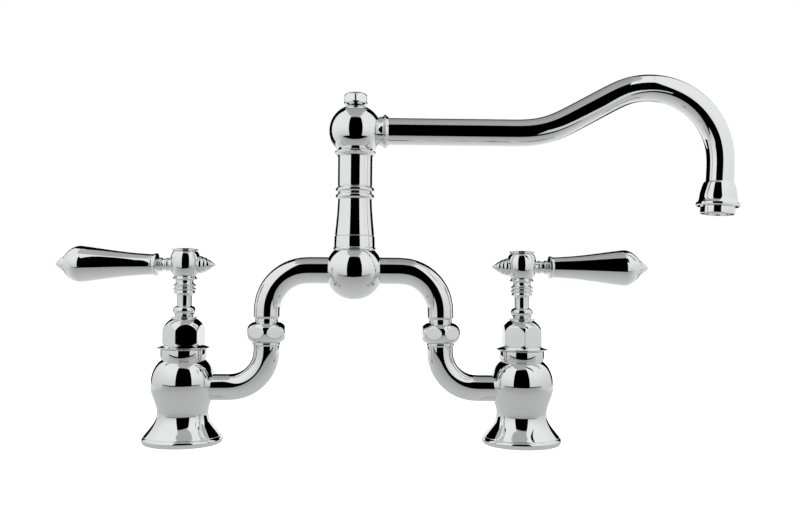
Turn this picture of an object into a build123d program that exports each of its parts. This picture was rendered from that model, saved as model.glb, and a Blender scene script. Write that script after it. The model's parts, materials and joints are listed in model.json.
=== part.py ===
from build123d import *
import os
from math import cos, pi, radians, sin, sqrt

# Two-handle bridge kitchen faucet for a deck with two holes.  Millimetres, +Z up.
# The origin is on the deck, midway between the two taps.  +X runs along the bridge
# towards the spout's outlet, and -Y faces the user.

os.makedirs("parts", exist_ok=True)

# ---- layout ----------------------------------------------------------------
tap_centres = 203.2         # between the two tap axes
riser_centres = 104.6       # between the two risers of the bridge
elbow_z = 33.0              # axis of the elbows' level legs
union_z = 65.9              # middle of the union nuts
bridge_z = 103.3            # axis of the bridge, and centre of its ball

# ---- clearances ------------------------------------------------------------
thread_gap = 0.1            # radial, between a thread and its nut or socket
slip_gap = 0.05             # radial, of a plug, a brazed joint or a running fit
turn_gap = 0.05             # axial, between faces that turn on each other
seat_gap = 0.3              # between a moving piece and a fixed one beside it

# ---- deck fixing -----------------------------------------------------------
deck_gap = 38.0             # thickest worktop that the shanks take
shank_r = 10.45             # half-inch pipe thread
shank_bore_r = 6.5
shank_in_base = 14.0        # thread that is screwed up into the valve body
tail_length = 12.0          # bare thread left for the supply hose
relief_r = 9.8
relief_width = 2.0
gasket_r = 21.0
gasket_inner_r = 14.0
gasket_thick = 1.6
deck_washer_r = 22.0
deck_washer_thick = 3.0
clamp_washer_r = 24.0
clamp_washer_thick = 1.5
lock_nut_flats = 30.0
lock_nut_height = 9.0

# ---- valve body, turned ----------------------------------------------------
base_r = 23.7
base_edge = 4.2             # height of the rounded rim
base_rim_in = 1.05          # how far the rim's rounding reaches in
waist_r = 15.0
waist_z = 18.2
belly_r = 19.0
belly_z = 34.2
shoulder_r = 12.4
shoulder_z = 49.6
neck_ring_r = 12.9
neck_r = 13.5
neck_foot_z = 50.6
neck_z = 55.5               # top of the neck
inlet_r = 5.5
seat_z = 24.0
chamber_r = 11.5
chamber_low_z = 27.0
chamber_top_z = 43.0
neck_bore_r = 9.6

# ---- ceramic cartridge -----------------------------------------------------
seal_thick = 2.0
cartridge_r = 8.8
cartridge_wall = 0.9
disc_thick = 3.0
disc_port_r = 2.1
disc_port_offset = 4.3
foot_thick = 2.0
cage_z = 38.0               # where the cartridge's tube becomes solid
window_z = 35.8
window_height = 4.0
window_width = 9.0
cartridge_flange_r = 11.0
cartridge_flange_thick = 2.6
bonnet_thread = 6.4         # thread that the bonnet screws on, above the flange
gland_r = 6.0
gland = 10.9                # top of the gland, above the flange
spindle_r = 3.6

# ---- flange ring and bonnet ------------------------------------------------
flange_ring_r = 15.5
flange_edge = 0.7
bonnet_flats = 22.0
bonnet_foot_r = 11.6
bonnet_foot_height = 1.5
bonnet_corner = 8.3         # height at which the dome meets the hexagon's corners
bonnet_arch = 12.3          # height of the arch on each flat
bonnet_dome_r = 7.2
bonnet_dome = 15.9
bonnet_lip_r = 7.8
bonnet_lip_thick = 1.0
bonnet_turn = {"left": 19.0, "right": 30.0}

# ---- handle stem, with heights above its foot --------------------------------
stem_foot_r = 5.5
stem_foot_height = 1.1
stem_bead_r = 6.7
stem_bead_top = 6.1
stem_r = 4.5
stem_lip_r = 6.3
stem_lip = 13.9
stem_ring_r = 6.6
stem_ring = (16.2, 18.4)
stem_ring_half = 0.75
stem_groove_r = 5.7
stem_neck_r = 5.3
stem_flange_r = 7.4
stem_flange = 22.3
stem_length = 24.0

# ---- hub, with heights above the stem -----------------------------------------
hub_foot_r = 6.2
hub_r = 8.9                 # widest
hub_widest = 7.9
hub_top_r = 6.9
hub_height = 15.0
lever_height = 6.9          # axis of the lever and the finial
hub_seat = 0.15             # how deep they stand in the hub, beyond a sphere of its radius
web_height = 2.7
web_thick = 1.2
hub_well_r = 3.4
cap_r = 7.7
cap_flare = 0.5
cap_height = 1.8
cap_plug = 2.6
screw_r = 1.95
screw_head_r = 3.1
screw_head = 2.3
screw_socket = 1.4
screw_length = 9.0

# ---- lever and finial, measured out from the tap's axis ---------------------
stud_r = 2.4
stud_from = 3.9
lever_neck_r = 3.6
lever_bead_r = (3.95, 4.15)
lever_bead_at = (10.5, 14.5)
lever_bead_half = (1.05, 1.2)
lever_groove_r = 3.4
lever_flange_r = 6.7
lever_flange_from = 16.6
lever_flange_to = 17.8
lever_cove = 1.6            # length of the cove between the flange and the grip
lever_root_r = 6.1
lever_slim_r = 6.8
lever_slim_at = 31.0
lever_full_r = 10.8
lever_full_at = 60.8
lever_end_r = 4.9
lever_end = 71.6
tip_foot_r = 4.4
tip_foot = 0.6
tip_r = 1.1                 # radius of the tip's round end
tip_slope = 37.0            # degrees
tip_end = 77.2
tip_pin_r = 1.5
tip_pin = 4.0
finial_foot_r = 4.9
finial_groove = ((7.9, 4.9), (10.9, 4.35), (13.3, 3.2), (15.6, 1.9))  # distance, radius
finial_swell = (0.55, 0.5, 0.35)
finial_end = 18.2

# ---- elbow, union and bridge arc --------------------------------------------
elbow_r = 7.8
elbow_bore_r = 6.0
elbow_bend = 21.5
elbow_socket = 13.5         # from the tap's axis to the elbow's inner end
elbow_ring_r = 8.4
elbow_ring = 2.0
union_thread_r = 8.1
union_flats = 22.2
union_r = 12.3              # widest, over the rounded corners
union_crown = 6.5           # radius of the nut's barrel
union_low = 5.9
union_high = 6.2
union_turn = {"left": 33.0, "right": 36.0}
union_washer_thick = 0.8
union_joint = 0.5           # the elbow's thread ends this far below the nut's middle
tail_r = 7.0
tail_flange = 1.0
tail_top = 1.3              # neck left showing above the nut
arc_r = 7.9
arc_bore_r = 6.2
arc_bend = 24.0

# ---- bridge ball, collar and column -----------------------------------------
ball_r = 17.4
ball_flat = 12.0            # top of the ball, above the bridge's axis
ball_socket = 11.5          # from the column's axis to each arc's inner end
ball_bore_r = 6.0
collar_lip_r = 12.9
collar_lip = 2.0
collar_r = 12.4
collar_top_r = 12.1
collar_height = 8.7
column_foot_r = 11.9
column_waist_r = 10.2
column_waist = 21.6         # heights in the column are above its foot
column_ring_r = 11.7
column_ring = (24.1, 28.2)
column_ring_half = 1.6
column_groove_r = 10.2
column_upper_r = 10.4
column_upper = 30.2
crown_cone = 47.6
crown_r = 12.5
crown_edge = 0.9
column_height = 51.4
column_bore_r = 8.4

# ---- riser, swivel and upper ball, with heights above the spout's axis ---------
ball_lift = 12.3            # the axis, above the foot of the upper ball
riser_r = 8.0
riser_thread_r = 8.5
riser_bore_r = 5.0
riser_foot = 3.7            # above the bridge's axis
riser_roof = 4.3
riser_top = 8.4
riser_port_r = 3.0
seal_groove_r = 6.2
seal_groove = 1.8
seal_at = (-8.6, 5.8)
glide_thick = 0.5           # low-friction washer under the upper ball
upper_ball_r = 15.9
water_room_r = 11.5
water_room = (-5.6, 3.8)    # its floor and roof
upper_web = 1.7
upper_well_r = 4.6
upper_flat = 14.7
hold_screw_r = 3.0
hold_head_r = 4.2
hold_head = 2.2
hold_socket_r = 2.4
hold_washer = 0.5
hold_length = 8.0
top_cap_foot_r = 6.1
top_cap_lip_r = 7.6
top_cap_lip = 2.1           # heights in the cap are above its foot
top_cap_edge = 0.6
top_cap_flats = 13.6
top_cap_corner_r = 7.6
top_cap_shoulder = 5.6
top_cap_height = 9.0
top_cap_turn = 30.0
top_plug = 1.2

# ---- spout ------------------------------------------------------------------
spout_r = 8.1
spout_bore_r = 6.7
spout_rise_at = 101.0       # where the level leg starts to climb
spout_rise_bend = 57.7
spout_rise = 28.5           # degrees
spout_ramp = 35.2
spout_hook_bend = 43.6
spout_tilt = 3.5            # degrees that the outlet leans back
spout_drop = 17.7           # straight length after the hook
port_r = 6.3
nozzle_foot_r = 8.2
nozzle_neck_r = 8.9
nozzle_neck_at = 16.3       # from the column's axis
nozzle_flange_r = 10.2
nozzle_flange_at = 18.6
nozzle_edge = 0.7
nozzle_end = 20.0
nozzle_socket = 15.5
nozzle_bore_r = 5.7
bell_socket = 6.0           # how far the tube goes into the bell
bell_round = 1.9
bell_shoulder_r = 9.4
bell_r = 11.1
bell_height = 10.2
bell_flare_r = 12.9
bell_flare = 13.2
bell_length = 15.2
bell_bore_r = 9.4
aerator_r = 10.1
aerator_drop = 4.6
aerator_round = 0.6
aerator_bore_r = 7.9
aerator_thread = 6.4
aerator_seal_thick = 1.0
aerator_seal_r = 6.9
insert_recess = 0.9
insert_hole_r = 0.75
insert_ring_r = (0.0, 2.4, 4.8)
insert_ring_holes = (1, 6, 12)

# ---- worked out -------------------------------------------------------------
tap_x = tap_centres / 2
riser_x = riser_centres / 2
deck_washer_z = -deck_gap - deck_washer_thick
clamp_washer_z = deck_washer_z - clamp_washer_thick
lock_nut_z = clamp_washer_z - lock_nut_height
tail_z = lock_nut_z - relief_width
shank_end_z = tail_z - tail_length
cartridge_z = seat_z + seal_thick
disc_z = cartridge_z
moving_disc_z = disc_z + disc_thick + turn_gap
foot_z = moving_disc_z + disc_thick
cage_r = cartridge_r - cartridge_wall
flange_top_z = neck_z + cartridge_flange_thick
bonnet_thread_r = neck_bore_r - thread_gap
bonnet_thread_z = flange_top_z + bonnet_thread
gland_z = flange_top_z + gland
bonnet_dome_z = flange_top_z + bonnet_dome
lip_top_z = bonnet_dome_z + bonnet_lip_thick
stem_z = lip_top_z + seat_gap
hub_foot_z = stem_z + stem_length
hub_z = hub_foot_z + lever_height
hub_top_z = hub_foot_z + hub_height
web_z = hub_foot_z + web_height
spindle_top_z = web_z - slip_gap
screw_seat_z = web_z + web_thick
elbow_thread_z = union_z - union_joint
tail_z0 = elbow_thread_z + union_washer_thick
tail_shoulder_z = tail_z0 + tail_flange
arc_foot_z = union_z + union_high + tail_top
ball_top_z = bridge_z + ball_flat
column_z = ball_top_z + collar_height
column_top_z = column_z + column_height
ball_z0 = column_top_z + glide_thick
spout_z = ball_z0 + ball_lift
riser_z = bridge_z + riser_foot
riser_roof_z = spout_z + riser_roof
riser_top_z = spout_z + riser_top
web_low_z = riser_top_z + seat_gap
web_top_z = web_low_z + upper_web
hold_head_z = web_top_z + hold_washer
upper_flat_z = spout_z + upper_flat


def ring_r(sphere_r, offset):
    """Radius of the circle that a plane at this offset cuts from a sphere."""
    return sqrt(sphere_r**2 - offset**2)


def lathe_plane(x=0.0):
    """Half plane of a piece turned about a vertical axis: local x is the radius, local y the height."""
    return Plane(origin=(x, 0, 0), x_dir=(1, 0, 0), z_dir=(0, -1, 0))


def lathe_axis(x=0.0):
    return Axis((x, 0, 0), (0, 0, 1))


def bar_plane(x, z, way):
    """Half plane of a piece turned about a level axis: local x runs along the bar, local y is the radius."""
    return Plane(origin=(x, 0, z), x_dir=(way, 0, 0), z_dir=(0, -way, 0))


def bar_axis(x, z):
    return Axis((x, 0, z), (1, 0, 0))


def save(piece, name):
    piece.part.label = name
    export_step(piece.part, f"parts/{name}.step")


def bore(x, radius, low, high):
    """Cuts a vertical round hole out of the part being built."""
    with Locations((x, 0, low)):
        Cylinder(radius, high - low, align=(Align.CENTER, Align.CENTER, Align.MIN), mode=Mode.SUBTRACT)


def ring(x, inner, outer, low, high):
    """Adds a plain ring with a vertical axis to the part being built."""
    with BuildSketch(Plane.XY.offset(low)) as annulus:
        with Locations((x, 0)):
            Circle(outer)
            Circle(inner, mode=Mode.SUBTRACT)
    extrude(annulus.sketch, amount=high - low)


# ---- deck fixing --------------------------------------------------------------
def make_shank(side, x):
    with BuildPart() as shank:
        ring(x, shank_bore_r, shank_r, shank_end_z, shank_in_base)
        with BuildSketch(Plane.XY.offset(tail_z)):
            with Locations((x, 0)):
                Circle(shank_r)
                Circle(relief_r, mode=Mode.SUBTRACT)
        extrude(amount=relief_width, mode=Mode.SUBTRACT)
    save(shank, f"{side}_shank")


def make_deck_rings():
    with BuildPart() as base_gaskets:
        for x in (-tap_x, tap_x):
            ring(x, gasket_inner_r, gasket_r, 0, gasket_thick)
    save(base_gaskets, "base_gaskets")
    with BuildPart() as deck_washers:
        for x in (-tap_x, tap_x):
            ring(x, shank_r + seat_gap, deck_washer_r, deck_washer_z, -deck_gap)
    save(deck_washers, "deck_washers")
    with BuildPart() as clamp_washers:
        for x in (-tap_x, tap_x):
            ring(x, shank_r + seat_gap, clamp_washer_r, clamp_washer_z, deck_washer_z)
    save(clamp_washers, "clamp_washers")
    with BuildPart() as lock_nuts:
        with BuildSketch(Plane.XY.offset(lock_nut_z)):
            with Locations((-tap_x, 0), (tap_x, 0)):
                RegularPolygon(lock_nut_flats / 2, 6, major_radius=False)
                Circle(shank_r + thread_gap, mode=Mode.SUBTRACT)
        extrude(amount=lock_nut_height)
    save(lock_nuts, "lock_nuts")


# ---- tap ------------------------------------------------------------------------
def make_valve_body(side, x, inward):
    rim_r = base_r - base_rim_in
    with BuildPart() as valve_body:
        with BuildSketch(lathe_plane(x)):
            with BuildLine():
                Line((0, 0), (rim_r, 0))
                ThreePointArc((rim_r, 0), (base_r, base_edge / 2), (rim_r, base_edge))
                Spline(
                    (rim_r, base_edge),
                    (waist_r, waist_z),
                    tangents=((-0.62, 0.78), (0, 1)),
                )
                Spline((waist_r, waist_z), (belly_r, belly_z), tangents=((0, 1), (0, 1)))
                Spline((belly_r, belly_z), (shoulder_r, shoulder_z), tangents=((0, 1), (-0.82, 0.57)))
                Line((shoulder_r, shoulder_z), (neck_ring_r, shoulder_z))
                Line((neck_ring_r, shoulder_z), (neck_ring_r, neck_foot_z))
                Line((neck_ring_r, neck_foot_z), (neck_r, neck_foot_z))
                Line((neck_r, neck_foot_z), (neck_r, neck_z))
                Line((neck_r, neck_z), (0, neck_z))
                Line((0, neck_z), (0, 0))
            make_face()
        revolve(axis=lathe_axis(x))
        bore(x, shank_r + thread_gap, 0, shank_in_base)
        bore(x, inlet_r, shank_in_base, seat_z)
        bore(x, neck_bore_r, seat_z, neck_z)
        bore(x, chamber_r, chamber_low_z, chamber_top_z)
        with BuildSketch():
            with Locations((x, 0)):
                Circle(gasket_r + slip_gap)
                Circle(gasket_inner_r - slip_gap, mode=Mode.SUBTRACT)
        extrude(amount=gasket_thick, mode=Mode.SUBTRACT)
        with BuildSketch(bar_plane(x, elbow_z, inward)):
            with Locations((0, 0)):
                Rectangle(elbow_socket, elbow_bore_r, align=Align.MIN)
            with Locations((elbow_socket, 0)):
                Rectangle(belly_r, elbow_r + slip_gap, align=Align.MIN)
        revolve(axis=bar_axis(x, elbow_z), mode=Mode.SUBTRACT)
    save(valve_body, f"{side}_valve_body")


def make_inlet_seals():
    with BuildPart() as inlet_seals:
        for x in (-tap_x, tap_x):
            ring(x, inlet_r, cartridge_r, seat_z, cartridge_z)
    save(inlet_seals, "inlet_seals")


def make_fixed_discs():
    with BuildPart() as fixed_discs:
        with BuildSketch(Plane.XY.offset(disc_z)):
            with Locations((-tap_x, 0), (tap_x, 0)):
                Circle(cage_r - slip_gap)
                with PolarLocations(disc_port_offset, 2):
                    Circle(disc_port_r, mode=Mode.SUBTRACT)
        extrude(amount=disc_thick)
    save(fixed_discs, "fixed_discs")


def make_moving_disc(side, x):
    with BuildPart() as moving_disc:
        with BuildSketch(Plane.XY.offset(moving_disc_z)):
            with Locations((x, 0)):
                Circle(cage_r - seat_gap)
                with PolarLocations(disc_port_offset, 2, start_angle=90):
                    Circle(disc_port_r, mode=Mode.SUBTRACT)
        extrude(amount=disc_thick)
    save(moving_disc, f"{side}_moving_disc")


def make_spindle(side, x):
    with BuildPart() as spindle:
        with BuildSketch(Plane.XY.offset(foot_z)):
            with Locations((x, 0)):
                Circle(cage_r - seat_gap)
                with PolarLocations(disc_port_offset, 2, start_angle=90):
                    Circle(disc_port_r, mode=Mode.SUBTRACT)
        extrude(amount=foot_thick)
        with Locations((x, 0, foot_z + foot_thick)):
            Cylinder(
                spindle_r, spindle_top_z - foot_z - foot_thick,
                align=(Align.CENTER, Align.CENTER, Align.MIN),
            )
        bore(x, screw_r + thread_gap, spindle_top_z - screw_length - seat_gap, spindle_top_z)
    save(spindle, f"{side}_spindle")


def make_cartridge(side, x):
    with BuildPart() as cartridge:
        with BuildSketch(lathe_plane(x)):
            with BuildLine():
                Polyline(
                    (cage_r, cartridge_z),
                    (cartridge_r, cartridge_z),
                    (cartridge_r, chamber_top_z),
                    (bonnet_thread_r, chamber_top_z),
                    (bonnet_thread_r, neck_z),
                    (cartridge_flange_r, neck_z),
                    (cartridge_flange_r, flange_top_z),
                    (bonnet_thread_r - thread_gap, flange_top_z),
                    (bonnet_thread_r - thread_gap, bonnet_thread_z),
                    (gland_r, bonnet_thread_z),
                    (gland_r, gland_z),
                    (spindle_r + slip_gap, gland_z),
                    (spindle_r + slip_gap, cage_z),
                    (cage_r, cage_z),
                    close=True,
                )
            make_face()
        revolve(axis=lathe_axis(x))
        with Locations((x, 0, window_z)):
            Box(2 * chamber_r, window_width, window_height, mode=Mode.SUBTRACT)
    save(cartridge, f"{side}_cartridge")


def make_flange_ring(side, x):
    inner = cartridge_flange_r + thread_gap
    with BuildPart() as flange_ring:
        with BuildSketch(lathe_plane(x)):
            with BuildLine():
                Polyline(
                    (bonnet_foot_r, flange_top_z), (inner, flange_top_z),
                    (inner, neck_z), (neck_r, neck_z),
                )
                Spline(
                    (neck_r, neck_z),
                    (flange_ring_r, neck_z + flange_edge),
                    tangents=((0.6, 0.8), (1, 0.15)),
                )
                Line((flange_ring_r, neck_z + flange_edge), (flange_ring_r, neck_z + 2 * flange_edge))
                Line((flange_ring_r, neck_z + 2 * flange_edge), (bonnet_foot_r, flange_top_z))
            make_face()
        revolve(axis=lathe_axis(x))
    save(flange_ring, f"{side}_flange_ring")


def make_bonnet(side, x):
    corner_r = bonnet_flats / 2 / cos(radians(30))
    with BuildPart() as bonnet:
        with BuildSketch(Plane.XY.offset(flange_top_z)):
            with Locations((x, 0)):
                RegularPolygon(bonnet_flats / 2, 6, major_radius=False, rotation=bonnet_turn[side])
        extrude(amount=lip_top_z - flange_top_z)
        with BuildSketch(lathe_plane(x)):
            with BuildLine():
                Polyline(
                    (0, flange_top_z),
                    (bonnet_foot_r, flange_top_z),
                    (corner_r, flange_top_z + bonnet_foot_height),
                    (corner_r, flange_top_z + bonnet_corner),
                )
                ThreePointArc(
                    (corner_r, flange_top_z + bonnet_corner),
                    (bonnet_flats / 2, flange_top_z + bonnet_arch),
                    (bonnet_dome_r, bonnet_dome_z),
                )
                Polyline(
                    (bonnet_dome_r, bonnet_dome_z),
                    (bonnet_lip_r, bonnet_dome_z + bonnet_lip_thick / 2),
                    (bonnet_lip_r, lip_top_z),
                    (0, lip_top_z),
                    (0, flange_top_z),
                )
            make_face()
        revolve(axis=lathe_axis(x), mode=Mode.INTERSECT)
        bore(x, bonnet_thread_r, flange_top_z, bonnet_thread_z + seat_gap)
        bore(x, gland_r + seat_gap, bonnet_thread_z, gland_z + seat_gap)
        bore(x, spindle_r + seat_gap, gland_z, lip_top_z)
    save(bonnet, f"{side}_bonnet")


# ---- handle -----------------------------------------------------------------------
def make_stem(side, x):
    foot_top = stem_z + stem_foot_height
    bead_top = stem_z + stem_bead_top
    lip = stem_z + stem_lip
    ring_low, ring_high = (stem_z + height for height in stem_ring)
    neck = ring_high + stem_ring_half
    flange = stem_z + stem_flange
    with BuildPart() as stem:
        with BuildSketch(lathe_plane(x)):
            with BuildLine():
                Polyline((0, stem_z), (stem_foot_r, stem_z), (stem_foot_r, foot_top))
                ThreePointArc(
                    (stem_foot_r, foot_top),
                    (stem_bead_r, (foot_top + bead_top) / 2),
                    (stem_r, bead_top),
                )
                Line((stem_r, bead_top), (stem_r, lip - stem_ring_half * 2))
                Spline((stem_r, lip - stem_ring_half * 2), (stem_lip_r, lip), tangents=((0, 1), (0.9, 0.4)))
                Line((stem_lip_r, lip), (stem_groove_r, ring_low - stem_ring_half))
                for z in (ring_low, ring_high):
                    ThreePointArc(
                        (stem_groove_r, z - stem_ring_half),
                        (stem_ring_r, z),
                        (stem_groove_r, z + stem_ring_half),
                    )
                Line((stem_groove_r, ring_low + stem_ring_half), (stem_groove_r, ring_high - stem_ring_half))
                Polyline(
                    (stem_groove_r, neck),
                    (stem_neck_r, neck + stem_ring_half),
                    (stem_neck_r, flange - stem_ring_half),
                    (stem_flange_r, flange),
                    (hub_foot_r, hub_foot_z),
                    (0, hub_foot_z),
                    (0, stem_z),
                )
            make_face()
        revolve(axis=lathe_axis(x))
        bore(x, spindle_r + slip_gap, stem_z, hub_foot_z)
    save(stem, f"{side}_stem")


def seat_on_hub(foot_r):
    """Distance from the tap's axis at which a round foot of this radius stands in the hub."""
    return ring_r(hub_r, foot_r + slip_gap) - hub_seat


def make_hub(side, x, outward):
    widest_z = hub_foot_z + hub_widest
    with BuildPart() as hub:
        with BuildSketch(lathe_plane(x)):
            with BuildLine():
                Line((0, hub_foot_z), (hub_foot_r, hub_foot_z))
                Spline((hub_foot_r, hub_foot_z), (hub_r, widest_z), tangents=((1, 1), (0, 1)))
                Spline((hub_r, widest_z), (hub_top_r, hub_top_z), tangents=((0, 1), (-1, 1)))
                Line((hub_top_r, hub_top_z), (0, hub_top_z))
                Line((0, hub_top_z), (0, hub_foot_z))
            make_face()
        revolve(axis=lathe_axis(x))
        bore(x, spindle_r + slip_gap, hub_foot_z, web_z)
        bore(x, screw_r + seat_gap, web_z, screw_seat_z)
        bore(x, hub_well_r, screw_seat_z, hub_top_z)
        for way, foot_r in ((outward, lever_neck_r), (-outward, finial_foot_r)):
            with BuildSketch(bar_plane(x, hub_z, way)):
                Rectangle(hub_r, stud_r + slip_gap, align=Align.MIN)
                with Locations((seat_on_hub(foot_r), 0)):
                    Rectangle(hub_r, foot_r + slip_gap, align=Align.MIN)
            revolve(axis=bar_axis(x, hub_z), mode=Mode.SUBTRACT)
    save(hub, f"{side}_hub")


def make_handle_cap(side, x):
    edge_z = hub_top_z + cap_flare
    top_z = hub_top_z + cap_height
    with BuildPart() as handle_cap:
        with BuildSketch(lathe_plane(x)):
            with BuildLine():
                Polyline(
                    (0, hub_top_z - cap_plug),
                    (hub_well_r - slip_gap, hub_top_z - cap_plug),
                    (hub_well_r - slip_gap, hub_top_z),
                    (hub_top_r, hub_top_z),
                    (cap_r, edge_z),
                    (cap_r, edge_z + flange_edge),
                )
                Spline((cap_r, edge_z + flange_edge), (0, top_z), tangents=((-1, 0.15), (-1, 0)))
                Line((0, top_z), (0, hub_top_z - cap_plug))
            make_face()
        revolve(axis=lathe_axis(x))
    save(handle_cap, f"{side}_handle_cap")


def make_handle_screw(side, x):
    with BuildPart() as handle_screw:
        with Locations((x, 0, screw_seat_z)):
            Cylinder(screw_head_r, screw_head, align=(Align.CENTER, Align.CENTER, Align.MIN))
            Cylinder(screw_r, screw_length, align=(Align.CENTER, Align.CENTER, Align.MAX))
        with BuildSketch(Plane.XY.offset(screw_seat_z + screw_head)):
            with Locations((x, 0)):
                RegularPolygon(screw_r, 6)
        extrude(amount=-screw_socket, mode=Mode.SUBTRACT)
    save(handle_screw, f"{side}_handle_screw")


def make_lever(side, x, outward):
    seat = seat_on_hub(lever_neck_r)
    grip_from = lever_flange_to + lever_cove
    with BuildPart() as lever:
        with BuildSketch(bar_plane(x, hub_z, outward)):
            with BuildLine():
                groove = (seat, lever_neck_r)
                Polyline((stud_from, 0), (stud_from, stud_r), (seat, stud_r), groove)
                for bead_r, at, half in zip(lever_bead_r, lever_bead_at, lever_bead_half):
                    Line(groove, (at - half, lever_groove_r))
                    groove = (at + half, lever_groove_r)
                    ThreePointArc((at - half, lever_groove_r), (at, bead_r), groove)
                Polyline(
                    groove,
                    (lever_flange_from, lever_flange_r),
                    (lever_flange_to, lever_flange_r),
                )
                RadiusArc((lever_flange_to, lever_flange_r), (grip_from, lever_root_r), -lever_cove)
                Spline(
                    (grip_from, lever_root_r),
                    (lever_slim_at, lever_slim_r),
                    (lever_full_at, lever_full_r),
                    tangents=((1, 0.02), (1, 0)),
                )
                Spline(
                    (lever_full_at, lever_full_r),
                    (lever_end, lever_end_r),
                    tangents=((1, 0), (0.65, -1)),
                )
                Line((lever_end, lever_end_r), (lever_end, 0))
                Line((lever_end, 0), (stud_from, 0))
            make_face()
        revolve(axis=bar_axis(x, hub_z))
        with BuildSketch(bar_plane(x, hub_z, outward)):
            with Locations((lever_end, 0)):
                Rectangle(tip_pin + seat_gap, tip_pin_r + slip_gap, align=(Align.MAX, Align.MIN))
        revolve(axis=bar_axis(x, hub_z), mode=Mode.SUBTRACT)
    save(lever, f"{side}_lever")


def make_lever_tip(side, x, outward):
    foot_end = lever_end + tip_foot
    slope = radians(tip_slope)
    centre = tip_end - tip_r
    round_from = (centre + tip_r * sin(slope), tip_r * cos(slope))
    round_mid = (centre + tip_r * cos((pi / 2 - slope) / 2), tip_r * sin((pi / 2 - slope) / 2))
    with BuildPart() as lever_tip:
        with BuildSketch(bar_plane(x, hub_z, outward)):
            with BuildLine():
                Polyline(
                    (lever_end - tip_pin, 0),
                    (lever_end - tip_pin, tip_pin_r),
                    (lever_end, tip_pin_r),
                    (lever_end, tip_foot_r),
                    (foot_end, tip_foot_r),
                )
                Spline((foot_end, tip_foot_r), round_from, tangents=((1, -0.55), (cos(slope), -sin(slope))))
                ThreePointArc(round_from, round_mid, (tip_end, 0))
                Line((tip_end, 0), (lever_end - tip_pin, 0))
            make_face()
        revolve(axis=bar_axis(x, hub_z))
    save(lever_tip, f"{side}_lever_tip")


def make_finial(side, x, outward):
    seat = seat_on_hub(finial_foot_r)
    with BuildPart() as finial:
        with BuildSketch(bar_plane(x, hub_z, -outward)):
            with BuildLine():
                Polyline((stud_from, 0), (stud_from, stud_r), (seat, stud_r), (seat, finial_foot_r))
                Line((seat, finial_foot_r), finial_groove[0])
                for low, high, swell in zip(finial_groove, finial_groove[1:], finial_swell):
                    SagittaArc(low, high, swell)
                Line(finial_groove[-1], (finial_end, 0))
                Line((finial_end, 0), (stud_from, 0))
            make_face()
        revolve(axis=bar_axis(x, hub_z))
    save(finial, f"{side}_finial")


# ---- bridge -----------------------------------------------------------------------
def make_elbow(side, x, inward):
    start_x = x + inward * elbow_socket
    riser = -inward * riser_x
    bend_x = riser - inward * elbow_bend
    ring_z = union_z - union_low - thread_gap
    start = Plane(origin=(start_x, 0, elbow_z), z_dir=(inward, 0, 0))
    upright = (Align.CENTER, Align.CENTER, Align.MIN)
    with BuildPart() as elbow:
        with BuildLine() as path:
            leg = Line((start_x, 0, elbow_z), (bend_x, 0, elbow_z))
            turn = TangentArc(leg @ 1, (riser, 0, elbow_z + elbow_bend), tangent=leg % 1)
            Line(turn @ 1, (riser, 0, elbow_thread_z))
        with BuildSketch(start):
            Circle(elbow_r)
        sweep(path=path.line)
        with Locations((riser, 0, ring_z - elbow_ring)):
            Cylinder(elbow_ring_r, elbow_ring, align=upright)
            Cylinder(union_thread_r, elbow_thread_z - ring_z + elbow_ring, align=upright)
        with BuildSketch(start):
            Circle(elbow_bore_r)
        sweep(path=path.line, mode=Mode.SUBTRACT)
    save(elbow, f"{side}_elbow")


def make_union_nut(side, inward):
    riser = -inward * riser_x
    centre_r = union_r - union_crown
    low_r = centre_r + sqrt(union_crown**2 - union_low**2)
    high_r = centre_r + sqrt(union_crown**2 - union_high**2)
    with BuildPart() as union_nut:
        with BuildSketch(Plane.XY.offset(union_z - union_low)):
            with Locations((riser, 0)):
                RegularPolygon(union_flats / 2, 6, major_radius=False, rotation=union_turn[side])
        extrude(amount=union_low + union_high)
        with BuildSketch(lathe_plane(riser)):
            with BuildLine():
                Line((0, union_z - union_low), (low_r, union_z - union_low))
                ThreePointArc(
                    (low_r, union_z - union_low),
                    (union_r, union_z),
                    (high_r, union_z + union_high),
                )
                Line((high_r, union_z + union_high), (0, union_z + union_high))
                Line((0, union_z + union_high), (0, union_z - union_low))
            make_face()
        revolve(axis=lathe_axis(riser), mode=Mode.INTERSECT)
        bore(riser, union_thread_r + thread_gap, union_z - union_low, tail_shoulder_z + slip_gap)
        bore(riser, tail_r + thread_gap, tail_shoulder_z, union_z + union_high)
    save(union_nut, f"{side}_union_nut")


def make_union_washers():
    with BuildPart() as union_washers:
        for x in (-riser_x, riser_x):
            ring(x, elbow_bore_r, union_thread_r - slip_gap, elbow_thread_z, tail_z0)
    save(union_washers, "union_washers")


def make_arc(side, inward):
    riser = -inward * riser_x
    end_x = -inward * ball_socket
    bend_x = riser + inward * arc_bend
    with BuildPart() as bridge_arc:
        with BuildLine() as path:
            leg = Line((riser, 0, arc_foot_z), (riser, 0, bridge_z - arc_bend))
            turn = TangentArc(leg @ 1, (bend_x, 0, bridge_z), tangent=leg % 1)
            Line(turn @ 1, (end_x, 0, bridge_z))
        with BuildSketch(Plane.XY.offset(arc_foot_z)):
            with Locations((riser, 0)):
                Circle(arc_r)
                Circle(arc_bore_r, mode=Mode.SUBTRACT)
        sweep(path=path.line)
        ring(riser, elbow_bore_r, tail_r, tail_z0, arc_foot_z)
        ring(riser, elbow_bore_r, union_thread_r - slip_gap, tail_z0, tail_shoulder_z)
    save(bridge_arc, f"{side}_bridge_arc")


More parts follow.
